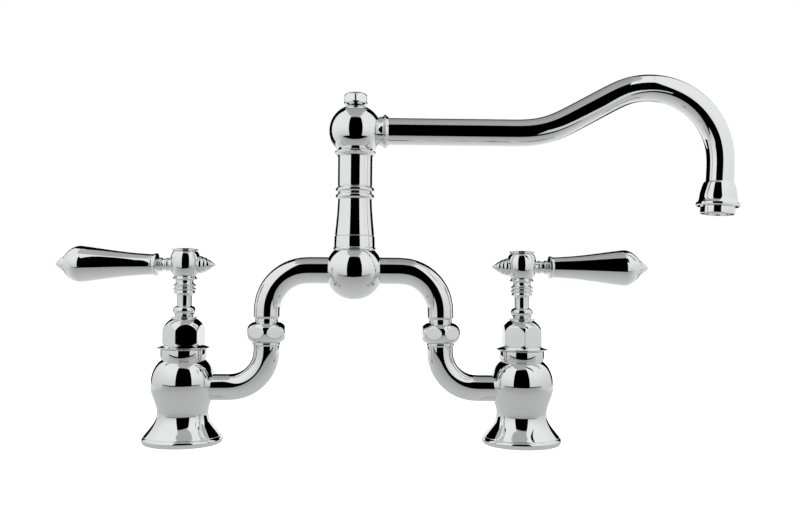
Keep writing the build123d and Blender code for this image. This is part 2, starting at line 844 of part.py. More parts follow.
def make_bridge_ball():
    with BuildPart() as bridge_ball:
        with Locations((0, 0, bridge_z)):
            Sphere(ball_r)
        split(bisect_by=Plane.XY.offset(ball_top_z), keep=Keep.BOTTOM)
        with Locations((0, 0, bridge_z)):
            Cylinder(ball_bore_r, 2 * ball_r, rotation=(0, 90, 0), mode=Mode.SUBTRACT)
        for way in (-1, 1):
            with BuildSketch(bar_plane(0, bridge_z, way)):
                with Locations((ball_socket, 0)):
                    Rectangle(ball_r, arc_r + slip_gap, align=Align.MIN)
            revolve(axis=bar_axis(0, bridge_z), mode=Mode.SUBTRACT)
        bore(0, riser_thread_r + thread_gap, riser_z, ball_top_z)
    save(bridge_ball, "bridge_ball")


def make_lower_collar():
    inner = riser_thread_r + thread_gap
    with BuildPart() as lower_collar:
        with BuildSketch(lathe_plane()):
            with BuildLine():
                Line((inner, ball_top_z), (collar_r, ball_top_z))
                ThreePointArc(
                    (collar_r, ball_top_z),
                    (collar_lip_r, ball_top_z + collar_lip / 2),
                    (collar_r, ball_top_z + collar_lip),
                )
                Polyline(
                    (collar_r, ball_top_z + collar_lip),
                    (collar_top_r, column_z),
                    (inner, column_z),
                    (inner, ball_top_z),
                )
            make_face()
        revolve(axis=lathe_axis())
    save(lower_collar, "lower_collar")


def make_column():
    ring_z = [[column_z + at + part * column_ring_half for part in (-1, 0, 1)] for at in column_ring]
    waist_z = column_z + column_waist
    upper_z = column_z + column_upper
    cone_z = column_z + crown_cone
    with BuildPart() as column:
        with BuildSketch(lathe_plane()):
            with BuildLine():
                Line((column_bore_r, column_z), (column_foot_r - flange_edge / 2, column_z))
                Line((column_foot_r - flange_edge / 2, column_z), (column_foot_r, column_z + flange_edge / 2))
                Spline(
                    (column_foot_r, column_z + flange_edge / 2),
                    (column_waist_r, waist_z),
                    tangents=((-0.1, 1), (-0.03, 1)),
                )
                Line((column_waist_r, waist_z), (column_groove_r, ring_z[0][0]))
                for low, mid, high in ring_z:
                    ThreePointArc((column_groove_r, low), (column_ring_r, mid), (column_groove_r, high))
                Line((column_groove_r, ring_z[0][2]), (column_groove_r, ring_z[1][0]))
                Polyline(
                    (column_groove_r, ring_z[1][2]),
                    (column_groove_r, upper_z),
                    (column_upper_r, upper_z),
                    (column_upper_r, cone_z),
                )
                Spline(
                    (column_upper_r, cone_z),
                    (crown_r, column_top_z - crown_edge),
                    tangents=((0, 1), (1, 0.5)),
                )
                Polyline(
                    (crown_r, column_top_z - crown_edge),
                    (crown_r, column_top_z - crown_edge / 3),
                    (crown_r - crown_edge / 3, column_top_z),
                    (column_bore_r, column_top_z),
                    (column_bore_r, column_z),
                )
            make_face()
        revolve(axis=lathe_axis())
    save(column, "column")


def make_riser():
    half = seal_groove / 2
    with BuildPart() as riser:
        ring(0, riser_bore_r, riser_r, riser_z, riser_top_z)
        ring(0, riser_r, riser_thread_r, riser_z, column_z)
        with Locations((0, 0, riser_roof_z)):
            Cylinder(
                riser_bore_r, riser_top_z - riser_roof_z,
                align=(Align.CENTER, Align.CENTER, Align.MIN),
            )
        bore(0, hold_screw_r + thread_gap, riser_roof_z, riser_top_z)
        for at in seal_at:
            with BuildSketch(Plane.XY.offset(spout_z + at - half)):
                Circle(riser_r)
                Circle(seal_groove_r, mode=Mode.SUBTRACT)
            extrude(amount=seal_groove, mode=Mode.SUBTRACT)
        with Locations((0, 0, spout_z + sum(water_room) / 2)):
            for turn in (0, 90):
                Cylinder(riser_port_r, 2 * riser_thread_r, rotation=(90, 0, turn), mode=Mode.SUBTRACT)
    save(riser, "riser_tube")


def make_swivel_seals():
    half = seal_groove / 2 - slip_gap
    with BuildPart() as swivel_seals:
        for at in seal_at:
            z = spout_z + at
            ring(0, seal_groove_r + slip_gap, riser_r - slip_gap, z - half, z + half)
    save(swivel_seals, "swivel_seals")


def make_glide_washer():
    with BuildPart() as glide_washer:
        ring(0, column_bore_r, ring_r(upper_ball_r, spout_z - ball_z0), column_top_z, ball_z0 - turn_gap)
    save(glide_washer, "glide_washer")


def make_upper_ball():
    seat = ring_r(upper_ball_r, nozzle_foot_r + slip_gap)
    with BuildPart() as upper_ball:
        with Locations((0, 0, spout_z)):
            Sphere(upper_ball_r)
        split(bisect_by=Plane.XY.offset(ball_z0), keep=Keep.TOP)
        split(bisect_by=Plane.XY.offset(upper_flat_z), keep=Keep.BOTTOM)
        bore(0, riser_r + slip_gap, ball_z0, web_low_z)
        bore(0, water_room_r, spout_z + water_room[0], spout_z + water_room[1])
        bore(0, hold_screw_r + seat_gap, web_low_z, web_top_z)
        bore(0, upper_well_r, web_top_z, upper_flat_z)
        with BuildSketch(bar_plane(0, spout_z, 1)):
            Rectangle(upper_ball_r, port_r + slip_gap, align=Align.MIN)
            with Locations((seat, 0)):
                Rectangle(upper_ball_r, nozzle_foot_r + slip_gap, align=Align.MIN)
        revolve(axis=bar_axis(0, spout_z), mode=Mode.SUBTRACT)
    save(upper_ball, "upper_ball")


def make_holding_screw():
    with BuildPart() as holding_screw:
        with Locations((0, 0, web_top_z)):
            Cylinder(hold_head_r, hold_washer, align=(Align.CENTER, Align.CENTER, Align.MIN))
            Cylinder(hold_screw_r, hold_length, align=(Align.CENTER, Align.CENTER, Align.MAX))
        with BuildSketch(Plane.XY.offset(hold_head_z)):
            RegularPolygon(hold_head_r, 6)
            RegularPolygon(hold_socket_r, 6, mode=Mode.SUBTRACT)
        extrude(amount=hold_head)
    save(holding_screw, "holding_screw")


def make_top_cap():
    plug_z = upper_flat_z - top_plug
    lip_z = upper_flat_z + top_cap_lip
    hexagon_z = lip_z + top_cap_edge
    shoulder_z = upper_flat_z + top_cap_shoulder
    top_z = upper_flat_z + top_cap_height
    with BuildPart() as top_cap:
        with BuildSketch(Plane.XY.offset(hexagon_z)):
            RegularPolygon(top_cap_flats / 2, 6, major_radius=False, rotation=top_cap_turn)
        extrude(amount=top_z - hexagon_z)
        with BuildSketch(lathe_plane()):
            with BuildLine():
                Polyline(
                    (0, top_z), (0, hexagon_z), (top_cap_corner_r, hexagon_z), (top_cap_corner_r, shoulder_z),
                )
                Spline((top_cap_corner_r, shoulder_z), (0, top_z), tangents=((0, 1), (-1, 0)))
            make_face()
        revolve(axis=lathe_axis(), mode=Mode.INTERSECT)
        with BuildSketch(lathe_plane()):
            with BuildLine():
                Polyline(
                    (0, hexagon_z),
                    (0, plug_z),
                    (upper_well_r - slip_gap, plug_z),
                    (upper_well_r - slip_gap, upper_flat_z),
                    (top_cap_foot_r, upper_flat_z),
                )
                Spline((top_cap_foot_r, upper_flat_z), (top_cap_lip_r, lip_z), tangents=((0.2, 1), (1, 0.6)))
                Polyline((top_cap_lip_r, lip_z), (top_cap_lip_r, hexagon_z), (0, hexagon_z))
            make_face()
        revolve(axis=lathe_axis())
    save(top_cap, "top_cap")


# ---- spout ------------------------------------------------------------------------
def spout_route():
    """Points where the spout's straight runs and arcs meet, its end, and its direction there."""
    rise = radians(spout_rise)
    tilt = radians(spout_tilt)
    climb = Vector(spout_rise_at, 0, spout_z)
    ramp = climb + Vector(sin(rise), 0, 1 - cos(rise)) * spout_rise_bend
    crest = ramp + Vector(cos(rise), 0, sin(rise)) * spout_ramp
    centre = crest + Vector(sin(rise), 0, -cos(rise)) * spout_hook_bend
    fall = centre + Vector(cos(tilt), 0, -sin(tilt)) * spout_hook_bend
    down = Vector(-sin(tilt), 0, -cos(tilt))
    end = fall + down * spout_drop
    return climb, ramp, crest, fall, end, down


def make_nozzle_collar():
    seat = ring_r(upper_ball_r, nozzle_foot_r + slip_gap)
    rim_r = nozzle_flange_r - nozzle_edge
    rim_from = nozzle_flange_at - 2 * nozzle_edge
    with BuildPart() as nozzle_collar:
        with BuildSketch(bar_plane(0, spout_z, 1)):
            with BuildLine():
                Polyline(
                    (water_room_r, nozzle_bore_r),
                    (water_room_r, port_r),
                    (seat, port_r),
                    (seat, nozzle_foot_r),
                    (nozzle_neck_at, nozzle_neck_r),
                )
                Spline((nozzle_neck_at, nozzle_neck_r), (rim_from, rim_r), tangents=((1, 0.2), (0.25, 1)))
                ThreePointArc(
                    (rim_from, rim_r),
                    (rim_from + nozzle_edge, nozzle_flange_r),
                    (nozzle_flange_at, rim_r),
                )
                Polyline(
                    (nozzle_flange_at, rim_r),
                    (nozzle_end, spout_r + nozzle_edge),
                    (nozzle_end, spout_r + slip_gap),
                    (nozzle_socket, spout_r + slip_gap),
                    (nozzle_socket, nozzle_bore_r),
                    (water_room_r, nozzle_bore_r),
                )
            make_face()
        revolve(axis=bar_axis(0, spout_z))
    save(nozzle_collar, "nozzle_collar")


def make_spout_tube():
    climb, ramp, crest, fall, end, _ = spout_route()
    start = Vector(nozzle_socket, 0, spout_z)
    with BuildPart() as spout_tube:
        with BuildLine() as path:
            level = Line(start, climb)
            rise = TangentArc(climb, ramp, tangent=level % 1)
            slope = Line(ramp, crest)
            hook = TangentArc(crest, fall, tangent=slope % 1)
            Line(fall, end)
        with BuildSketch(Plane(origin=start, z_dir=(1, 0, 0))):
            Circle(spout_r)
            Circle(spout_bore_r, mode=Mode.SUBTRACT)
        sweep(path=path.line)
    save(spout_tube, "spout_tube")


def outlet_plane():
    """Half plane of the pieces on the outlet: local x is the radius, local y runs down from the bell."""
    end, down = spout_route()[-2:]
    outward = Vector(-down.Z, 0, down.X)
    return Plane(origin=end - down * bell_socket, x_dir=outward, z_dir=outward.cross(down))


def outlet_axis():
    end, down = spout_route()[-2:]
    return Axis(end, down)


def make_spout_bell():
    with BuildPart() as spout_bell:
        with BuildSketch(outlet_plane()):
            with BuildLine():
                Line((spout_r + slip_gap, bell_socket), (spout_r + slip_gap, 0))
                Line((spout_r + slip_gap, 0), (spout_r + 2 * slip_gap, 0))
                Spline(
                    (spout_r + 2 * slip_gap, 0),
                    (bell_shoulder_r, bell_round),
                    (bell_r, bell_height),
                    tangents=((1, 0.25), (0.02, 1)),
                )
                Spline(
                    (bell_r, bell_height),
                    (bell_flare_r, bell_flare),
                    tangents=((0.1, 1), (1, 0.35)),
                )
                Polyline(
                    (bell_flare_r, bell_flare),
                    (bell_flare_r, bell_length - flange_edge),
                    (bell_flare_r - flange_edge, bell_length),
                    (bell_bore_r, bell_length),
                    (bell_bore_r, bell_socket + aerator_seal_thick),
                    (bell_bore_r, bell_socket),
                    (spout_r + slip_gap, bell_socket),
                )
            make_face()
        revolve(axis=outlet_axis())
    save(spout_bell, "spout_bell")


def make_aerator():
    seal_to = bell_socket + aerator_seal_thick
    foot = bell_length + aerator_drop
    with BuildPart() as aerator_seal:
        with BuildSketch(outlet_plane()):
            with Locations((aerator_seal_r, bell_socket)):
                Rectangle(bell_bore_r - slip_gap - aerator_seal_r, aerator_seal_thick, align=Align.MIN)
        revolve(axis=outlet_axis())
    save(aerator_seal, "aerator_seal")

    with BuildPart() as aerator_housing:
        with BuildSketch(outlet_plane()):
            with BuildLine():
                Polyline(
                    (aerator_bore_r, foot),
                    (aerator_bore_r, seal_to),
                    (bell_bore_r - thread_gap, seal_to),
                    (bell_bore_r - thread_gap, bell_length),
                    (aerator_r, bell_length),
                    (aerator_r, foot - aerator_round),
                    (aerator_r - aerator_round, foot),
                    (aerator_bore_r, foot),
                )
            make_face()
        revolve(axis=outlet_axis())
    save(aerator_housing, "aerator_housing")

    outlet = outlet_plane()
    top = outlet.from_local_coords((0, seal_to, 0))
    down = outlet_axis().direction
    with BuildPart() as aerator_insert:
        with BuildSketch(Plane(origin=top, x_dir=(0, 1, 0), z_dir=down)):
            Circle(aerator_bore_r - slip_gap)
            for ring_of_holes, holes in zip(insert_ring_r, insert_ring_holes):
                with PolarLocations(ring_of_holes, holes):
                    Circle(insert_hole_r, mode=Mode.SUBTRACT)
        extrude(amount=foot - seal_to - insert_recess)
    save(aerator_insert, "aerator_insert")


make_deck_rings()
make_inlet_seals()
make_fixed_discs()
make_union_washers()
for side, outward in (("left", -1), ("right", 1)):
    x = outward * tap_x
    make_shank(side, x)
    make_valve_body(side, x, -outward)
    make_cartridge(side, x)
    make_moving_disc(side, x)
    make_spindle(side, x)
    make_flange_ring(side, x)
    make_bonnet(side, x)
    make_stem(side, x)
    make_hub(side, x, outward)
    make_handle_cap(side, x)
    make_handle_screw(side, x)
    make_lever(side, x, outward)
    make_lever_tip(side, x, outward)
    make_finial(side, x, outward)
    make_elbow(side, x, -outward)
    make_union_nut(side, -outward)
    make_arc(side, -outward)
make_bridge_ball()
make_lower_collar()
make_column()
make_riser()
make_swivel_seals()
make_glide_washer()
make_upper_ball()
make_holding_screw()
make_top_cap()
make_nozzle_collar()
make_spout_tube()
make_spout_bell()
make_aerator()
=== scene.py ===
import json
from math import atan2, cos, hypot, pi, radians, sin, sqrt

import bpy
from mathutils import Matrix, Vector


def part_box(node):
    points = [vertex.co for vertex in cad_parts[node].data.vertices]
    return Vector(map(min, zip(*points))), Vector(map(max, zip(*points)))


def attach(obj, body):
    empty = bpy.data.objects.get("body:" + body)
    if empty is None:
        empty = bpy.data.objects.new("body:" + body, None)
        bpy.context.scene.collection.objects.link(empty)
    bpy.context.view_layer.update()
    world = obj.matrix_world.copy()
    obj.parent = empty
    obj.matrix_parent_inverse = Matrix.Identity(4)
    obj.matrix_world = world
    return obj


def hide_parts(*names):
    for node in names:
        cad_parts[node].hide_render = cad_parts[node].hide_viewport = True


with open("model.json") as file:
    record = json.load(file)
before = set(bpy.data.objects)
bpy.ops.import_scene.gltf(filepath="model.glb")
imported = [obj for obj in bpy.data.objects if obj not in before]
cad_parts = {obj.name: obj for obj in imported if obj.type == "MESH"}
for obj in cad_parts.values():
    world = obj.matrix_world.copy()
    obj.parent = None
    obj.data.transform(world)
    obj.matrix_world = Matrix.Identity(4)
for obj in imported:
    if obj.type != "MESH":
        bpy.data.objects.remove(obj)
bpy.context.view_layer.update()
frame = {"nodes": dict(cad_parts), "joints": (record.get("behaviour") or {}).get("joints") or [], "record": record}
scene = bpy.context.scene
MM = 0.001

# Sizes and places are in millimetres and in the frame's axes: x to the right, y away from the user and z up
# from the deck.
JOINT_AT = {joint["name"]: [round(v / MM, 3) for v in joint["pos_m"]] for joint in frame["joints"]}
TAP = JOINT_AT["right_handle_turn"][0]       # each tap's axis, from the middle
LEVER_Z = JOINT_AT["right_handle_turn"][2]
SPOUT_Z = JOINT_AT["spout_swivel"][2]
RISER = 52.3                                 # each riser's axis, from the middle
BRIDGE_Z = 103.3
SIDES = (("left", -1), ("right", 1))


def low_of(node):
    """The height of a node's lowest point at rest, in millimetres."""
    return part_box(node)[0].z / MM


def top_of(node):
    """The height of a node's highest point at rest, in millimetres."""
    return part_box(node)[1].z / MM


# ------------------------------------------------------------------ materials
NOISE_LOW, NOISE_HIGH = 0.3, 0.7     # between these a noise runs from the darkest to the lightest tone
FINE_GRAIN = 14                      # how many times finer the gloss and the bump are than the tone
BUMP_DEPTH = 0.2 * MM


def tree_of(name):
    """A new material with no nodes yet, and its nodes and links."""
    mat = bpy.data.materials.new(name)
    mat.use_nodes = True
    mat.node_tree.nodes.clear()
    return mat, mat.node_tree.nodes, mat.node_tree.links


def add(tree_nodes, kind, **values):
    """A shader node of that kind. Each value goes to the input of its name, or else to the node itself."""
    n = tree_nodes.new(kind)
    for key, value in values.items():
        if key in n.inputs:
            n.inputs[key].default_value = value
        else:
            setattr(n, key, value)
    return n


def map_range(tree_nodes, low, high, to_low=0.0, to_high=1.0):
    n = add(tree_nodes, "ShaderNodeMapRange")
    for key, value in (("From Min", low), ("From Max", high), ("To Min", to_low), ("To Max", to_high)):
        n.inputs[key].default_value = value
    return n


def finish_of(name, base, metallic, rough, spread, tone, grain, bump=0.0):
    """A finish whose tone and gloss wander a little over the surface, with a very fine bump."""
    mat, ns, ln = tree_of(name)
    out = add(ns, "ShaderNodeOutputMaterial")
    bsdf = add(ns, "ShaderNodeBsdfPrincipled", Metallic=metallic)
    ln.new(bsdf.outputs[0], out.inputs[0])
    place = add(ns, "ShaderNodeTexCoord")
    broad = add(ns, "ShaderNodeTexNoise", Scale=grain, Detail=3.0, Roughness=0.55)
    fine = add(ns, "ShaderNodeTexNoise", Scale=grain * FINE_GRAIN, Detail=2.0, Roughness=0.5)
    for n in (broad, fine):
        ln.new(place.outputs["Object"], n.inputs["Vector"])
    ramp = add(ns, "ShaderNodeValToRGB")
    dark, light = ramp.color_ramp.elements
    dark.position = NOISE_LOW
    light.position = NOISE_HIGH
    dark.color = [c * (1 - tone) for c in base] + [1]
    light.color = [min(1.0, c * (1 + tone)) for c in base] + [1]
    ln.new(broad.outputs["Fac"], ramp.inputs["Fac"])
    ln.new(ramp.outputs["Color"], bsdf.inputs["Base Color"])
    gloss = map_range(ns, NOISE_LOW, NOISE_HIGH, max(0.0, rough - spread), rough + spread)
    ln.new(fine.outputs["Fac"], gloss.inputs["Value"])
    ln.new(gloss.outputs["Result"], bsdf.inputs["Roughness"])
    if bump:
        relief = add(ns, "ShaderNodeBump", Strength=bump, Distance=BUMP_DEPTH)
        ln.new(fine.outputs["Fac"], relief.inputs["Height"])
        ln.new(relief.outputs["Normal"], bsdf.inputs["Normal"])
    return mat


def polished_chrome():
    return finish_of(
        "polished_chrome", (0.90, 0.905, 0.91),
        metallic=1.0, rough=0.025, spread=0.012, tone=0.012, grain=38,
    )


def machined_brass():
    return finish_of(
        "machined_brass", (0.76, 0.57, 0.27),
        metallic=1.0, rough=0.26, spread=0.08, tone=0.10, grain=60, bump=0.25,
    )


def stainless_steel():
    return finish_of(
        "stainless_steel", (0.58, 0.58, 0.59),
        metallic=1.0, rough=0.30, spread=0.08, tone=0.08, grain=60, bump=0.2,
    )


def lapped_ceramic():
    return finish_of(
        "lapped_ceramic", (0.86, 0.85, 0.81),
        metallic=0.0, rough=0.18, spread=0.05, tone=0.04, grain=60, bump=0.05,
    )


def moulded_rubber():
    return finish_of(
        "moulded_rubber", (0.030, 0.030, 0.031),
        metallic=0.0, rough=0.62, spread=0.12, tone=0.25, grain=80, bump=0.5,
    )


def pale_plastic():
    return finish_of(
        "pale_plastic", (0.70, 0.71, 0.72),
        metallic=0.0, rough=0.38, spread=0.08, tone=0.06, grain=70, bump=0.15,
    )


FINISH = {
    "chrome": polished_chrome(), "brass": machined_brass(), "steel": stainless_steel(),
    "ceramic": lapped_ceramic(), "rubber": moulded_rubber(), "plastic": pale_plastic(),
}
for part in frame["record"]["subparts"]:
    looks = frame["nodes"][part["node"]].data.materials
    looks.clear()
    looks.append(FINISH[part["material_slot"]])


# ------------------------------------------------------------------ outlines
CORNER_TURN = radians(9)     # a turn sharper than this is a corner
SAME_POINT = 1e-4


def distance(p, q):
    return hypot(q[0] - p[0], q[1] - p[1])


def between(p, q, t):
    return p[0] + (q[0] - p[0]) * t, p[1] + (q[1] - p[1]) * t


def shortened(run, at_end, size):
    """The run with size cut off its end or its start, or less where the run is short."""
    kept = run[::-1] if at_end else list(run)
    size = min(size, 0.45 * sum(distance(p, q) for p, q in zip(kept, kept[1:])))
    gone = 0.0
    while len(kept) > 1:
        step = distance(kept[0], kept[1])
        if gone + step > size:
            kept[0] = between(kept[0], kept[1], (size - gone) / step)
            break
        gone += step
        kept.pop(0)
    return kept[::-1] if at_end else kept


def rounded(p, corner, q):
    """A curve from p to q that the corner pulls out."""
    return [
        (
            (1-t)**2 * p[0] + 2*t*(1-t) * corner[0] + t*t * q[0],
            (1-t)**2 * p[1] + 2*t*(1-t) * corner[1] + t*t * q[1],
        )
        for t in (0, 0.2, 0.4, 0.6, 0.8, 1)
    ]


class Outline:
    """A turned piece's outline, drawn as (radius, height) points along straight and curved runs."""

    def __init__(self, r, z):
        self.runs = []
        self.end = (r, z)

    def _run(self, points):
        self.runs.append([self.end] + points)
        self.end = points[-1]
        return self

    def to(self, *points):
        """Straight runs to each of the points."""
        for p in points:
            self._run([p])
        return self

    def bow(self, mid, end, steps=16):
        """An arc through mid to end."""
        (ax, ay), (bx, by), (cx, cy) = self.end, mid, end
        d = 2 * (ax * (by - cy) + bx * (cy - ay) + cx * (ay - by))
        ux = ((ax**2 + ay**2) * (by - cy) + (bx**2 + by**2) * (cy - ay) + (cx**2 + cy**2) * (ay - by)) / d
        uy = ((ax**2 + ay**2) * (cx - bx) + (bx**2 + by**2) * (ax - cx) + (cx**2 + cy**2) * (bx - ax)) / d
        radius = hypot(ax - ux, ay - uy)
        a, b, c = (atan2(y - uy, x - ux) for x, y in (self.end, mid, end))
        turn = (c - a) % (2 * pi)
        if (b - a) % (2 * pi) > turn:
            turn -= 2 * pi
        return self._run([
            (ux + radius * cos(a + turn * i / steps), uy + radius * sin(a + turn * i / steps))
            for i in range(1, steps + 1)
        ])

    def swell(self, end, height, steps=16):
        """A shallow arc to end that stands out to the outline's outer side by height."""
        (ax, ay), (bx, by) = self.end, end
        chord = hypot(bx - ax, by - ay)
        out_x, out_y = (by - ay) / chord * height, (ax - bx) / chord * height
        return self.bow(((ax + bx) / 2 + out_x, (ay + by) / 2 + out_y), end, steps)

    def flow(self, end, leave, arrive, pull=1.0, steps=28):
        """A smooth curve to end, with its directions at both ends."""
        (ax, ay), (bx, by) = self.end, end
        chord = hypot(bx - ax, by - ay) * pull
        lx, ly = (v * chord / hypot(*leave) for v in leave)
        rx, ry = (v * chord / hypot(*arrive) for v in arrive)
        run = []
        for i in range(1, steps + 1):
            t = i / steps
            a, b, c, d = 2*t**3 - 3*t**2 + 1, t**3 - 2*t**2 + t, 3*t**2 - 2*t**3, t**3 - t**2
            run.append((a*ax + b*lx + c*bx + d*rx, a*ay + b*ly + c*by + d*ry))
        return self._run(run)

    def points(self, edge=0.18):
        """The points, with each sharp corner rounded over by about edge."""
        made = [list(self.runs[0])]
        for run in self.runs[1:]:
            (ax, ay), corner, (bx, by) = made[-1][-2], run[0], run[1]
            turn = atan2(by - corner[1], bx - corner[0]) - atan2(corner[1] - ay, corner[0] - ax)
            turn = (turn + pi) % (2 * pi) - pi
            if abs(turn) > CORNER_TURN:
                made[-1] = shortened(made[-1], True, edge)
                run = shortened(run, False, edge)
                made.append(rounded(made[-1][-1], corner, run[0]))
            made.append(run)
        flat = []
        for p in (p for run in made for p in run):
            if not flat or distance(p, flat[-1]) > SAME_POINT:
                flat.append(p)
        return flat


def split_long(points, step):
    """The same outline with no straight stretch much longer than step."""
    out = [points[0]]
    for p, q in zip(points, points[1:]):
        n = max(1, int(distance(p, q) / step))
        out += [between(p, q, i / n) for i in range(1, n + 1)]
    return out


# ------------------------------------------------------------------ mesh makers
THIN, ROUND, WIDE, LARGE, MILLED = 96, 128, 160, 192, 432        # points round a piece
ON_AXIS = 1e-3                   # a smaller radius is a single point on the axis
WALK_STEP, EASE_STEPS = 0.75, 8  # along a route, and the places to each side over which a bend is averaged


def piece(name, verts, faces, body, slot, *stood_for):
    """A smooth mesh that rides on a body, in the finish of its slot, in place of the nodes it stands for."""
    mesh = bpy.data.meshes.new(name)
    mesh.from_pydata([(x * MM, y * MM, z * MM) for x, y, z in verts], [], faces)
    mesh.update()
    mesh.shade_smooth()
    obj = bpy.data.objects.new(name, mesh)
    scene.collection.objects.link(obj)
    mesh.materials.append(FINISH[slot])
    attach(obj, body)
    if stood_for:
        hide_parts(*stood_for)


def turned(name, points, body, slot, *stood_for, at=(0, 0, 0), axis=(0, 0, 1), steps=ROUND, radius=None):
    """A solid of revolution about axis through at. radius(r, z, angle) may reshape it round the axis."""
    up = Vector(axis).normalized()
    side = Vector((0, 1, 0)) if abs(up.y) < 0.9 else Vector((1, 0, 0))
    east = side.cross(up).normalized()
    north = up.cross(east)
    origin = Vector(at)
    verts, faces, rows = [], [], []
    for r, z in points:
        if r < ON_AXIS:
            rows.append([len(verts)])
            verts.append(tuple(origin + up * z))
            continue
        rows.append(list(range(len(verts), len(verts) + steps)))
        for i in range(steps):
            a = 2 * pi * i / steps
            rr = radius(r, z, a) if radius else r
            verts.append(tuple(origin + up * z + east * (rr * cos(a)) + north * (rr * sin(a))))
    for low, high in zip(rows, rows[1:]):
        for i in range(steps):
            j = (i + 1) % steps
            if len(low) == 1 and len(high) == 1:
                continue
            if len(low) == 1:
                faces.append((low[0], high[j], high[i]))
            elif len(high) == 1:
                faces.append((low[i], low[j], high[0]))
            else:
                faces.append((low[i], low[j], high[j], high[i]))
    piece(name, verts, faces, body, slot, *stood_for)


def eased(route, reach):
    """A route of (length, curvature) stretches: its length, and the curvature at each of its small steps.

    The curvature is averaged over reach to both sides, so that each bend sets in and ends softly.
    """
    length, spans = 0.0, []
    for size, bend in route:
        spans.append((length, length + size, bend))
        length += size

    def bend_at(s):
        return next((b for lo, hi, b in spans if lo <= s < hi), 0.0)

    n = int(length / WALK_STEP)
    around = range(-EASE_STEPS, EASE_STEPS + 1)
    return length, [
        sum(bend_at(length * (i + 0.5) / n + reach * k / EASE_STEPS) for k in around) / len(around)
        for i in range(n)
    ]


def walk(start, heading, route, reach):
    """Points and headings along the route, from start, in the plane y = 0."""
    length, bends = eased(route, reach)
    x, z = start
    out = [(x, z, heading)]
    ds = length / len(bends)
    for b in bends:
        mid = heading + b * ds / 2
        x, z = x + cos(mid) * ds, z + sin(mid) * ds
        heading += b * ds
        out.append((x, z, heading))
    return out


def tube(name, line, outer, inner, body, slot, *stood_for, steps=THIN, lip=0.25):
    """A hollow tube along the line. outer may be a number or a function of the distance along it."""
    verts, faces = [], []
    n = len(line)
    dist = [0.0]
    for p, q in zip(line, line[1:]):
        dist.append(dist[-1] + distance(p, q))
    size = outer if callable(outer) else (lambda s: outer)
    last = n - 1
    start, end = size(0), size(dist[-1])
    rings = [(0, 0.0, inner), (0, 0.0, start - lip), (0, lip * 0.35, start - lip * 0.3), (0, lip, start)]
    rings += [(i, 0.0, size(dist[i])) for i in range(2, n - 2)]
    rings += [(last, -lip, end), (last, -lip * 0.35, end - lip * 0.3)]
    rings += [(last, 0.0, end - lip), (last, 0.0, inner)]
    rings += [(i, 0.0, inner) for i in range(n - 2, 0, -2)]
    for i, shift, r in rings:
        x, z, h = line[i]
        x, z = x + cos(h) * shift, z + sin(h) * shift
        for k in range(steps):
            a = 2 * pi * k / steps
            verts.append((x - sin(h) * r * cos(a), r * sin(a), z + cos(h) * r * cos(a)))
    m = len(rings)
    for i in range(m):
        for k in range(steps):
            low, high, beside = i * steps, (i + 1) % m * steps, (k + 1) % steps
            faces.append((low + k, high + k, high + beside, low + beside))
    piece(name, verts, faces, body, slot, *stood_for)


def hexagon(flats, turn, soft):
    """Reshapes a turned piece into a hexagon that the turned outline cuts off, with slightly soft edges."""
    def shape(r, z, a):
        b = (a - turn) % (pi / 3) - pi / 6
        flat = flats / 2 / cos(b)
        h = max(soft - abs(r - flat), 0.0) / soft
        return min(r, flat) - h * h * soft / 4
    return shape


# ------------------------------------------------------------------ the two taps
# Each outline is drawn as (radius, height) from the foot of its own piece, and those of the levers, tips and
# finials as (radius, distance from the tap's axis).
RIM_R, RIM_EDGE = 23.65, 1.1     # the foot's rim, and how far it is rounded in


def valve_body():
    edge_r = RIM_R - RIM_EDGE
    return (
        Outline(10.9, 13.9).to((10.9, 0.05), (13.9, 0.05), (13.9, 1.65))
        .to((21.1, 1.65), (21.1, 0.05), (edge_r, 0.05))
        .bow((RIM_R, 2.1), (edge_r, 4.15))
        .to((edge_r, 4.45))
        .flow((15.0, 18.2), (-0.62, 0.78), (0, 1), 1.05)
        .flow((19.0, 34.2), (0, 1), (0, 1))
        .flow((12.5, 49.5), (0, 1), (-0.82, 0.57), 1.05)
        .to((12.95, 49.65), (12.95, 50.5), (13.5, 50.75), (13.5, 55.45), (11.4, 55.45))
        .points(0.22)
    )


def flange_ring():
    return (
        Outline(11.3, 0.02).to((13.45, 0.02))
        .flow((15.45, 0.7), (0.6, 0.8), (1, 0.15), steps=8)
        .to((15.45, 1.35), (11.75, 2.58), (11.3, 2.58))
        .points(0.12)
    )


def bonnet():
    return (
        Outline(9.6, 0.02).to((11.6, 0.02), (12.8, 1.5), (12.8, 8.3))
        .bow((11.0, 12.3), (7.25, 15.8), steps=22)
        .to((7.75, 16.4), (7.75, 16.87), (4.2, 16.87))
        .points(0.16)
    )


def stem():
    out = Outline(3.9, -0.25).to((5.5, -0.25), (5.5, 1.1))
    out.bow((6.7, 3.6), (4.52, 6.08)).to((4.46, 6.3), (4.45, 12.4))
    out.flow((6.3, 13.9), (0, 1), (0.9, 0.4), steps=10).to((5.7, 15.4))
    for z in (16.2, 18.4):
        out.to((5.7, z - 0.74)).bow((6.6, z), (5.7, z + 0.74), steps=10)
    out.to((5.3, 19.9), (5.3, 21.5), (7.35, 22.3), (6.2, 23.98), (3.9, 23.98))
    return out.points(0.14)


def hub():
    return (
        Outline(3.9, 0.0).to((6.2, 0.0))
        .flow((8.87, 7.9), (1, 1), (0, 1))
        .flow((6.9, 14.95), (0, 1), (-1, 1))
        .to((3.5, 14.95))
        .points(0.1)
    )


def handle_cap():
    return (
        Outline(3.3, 0.0).to((6.85, 0.0), (7.68, 0.5), (7.68, 1.15))
        .flow((0, 1.77), (-1, 0.15), (-1, 0), steps=16)
        .points(0.12)
    )


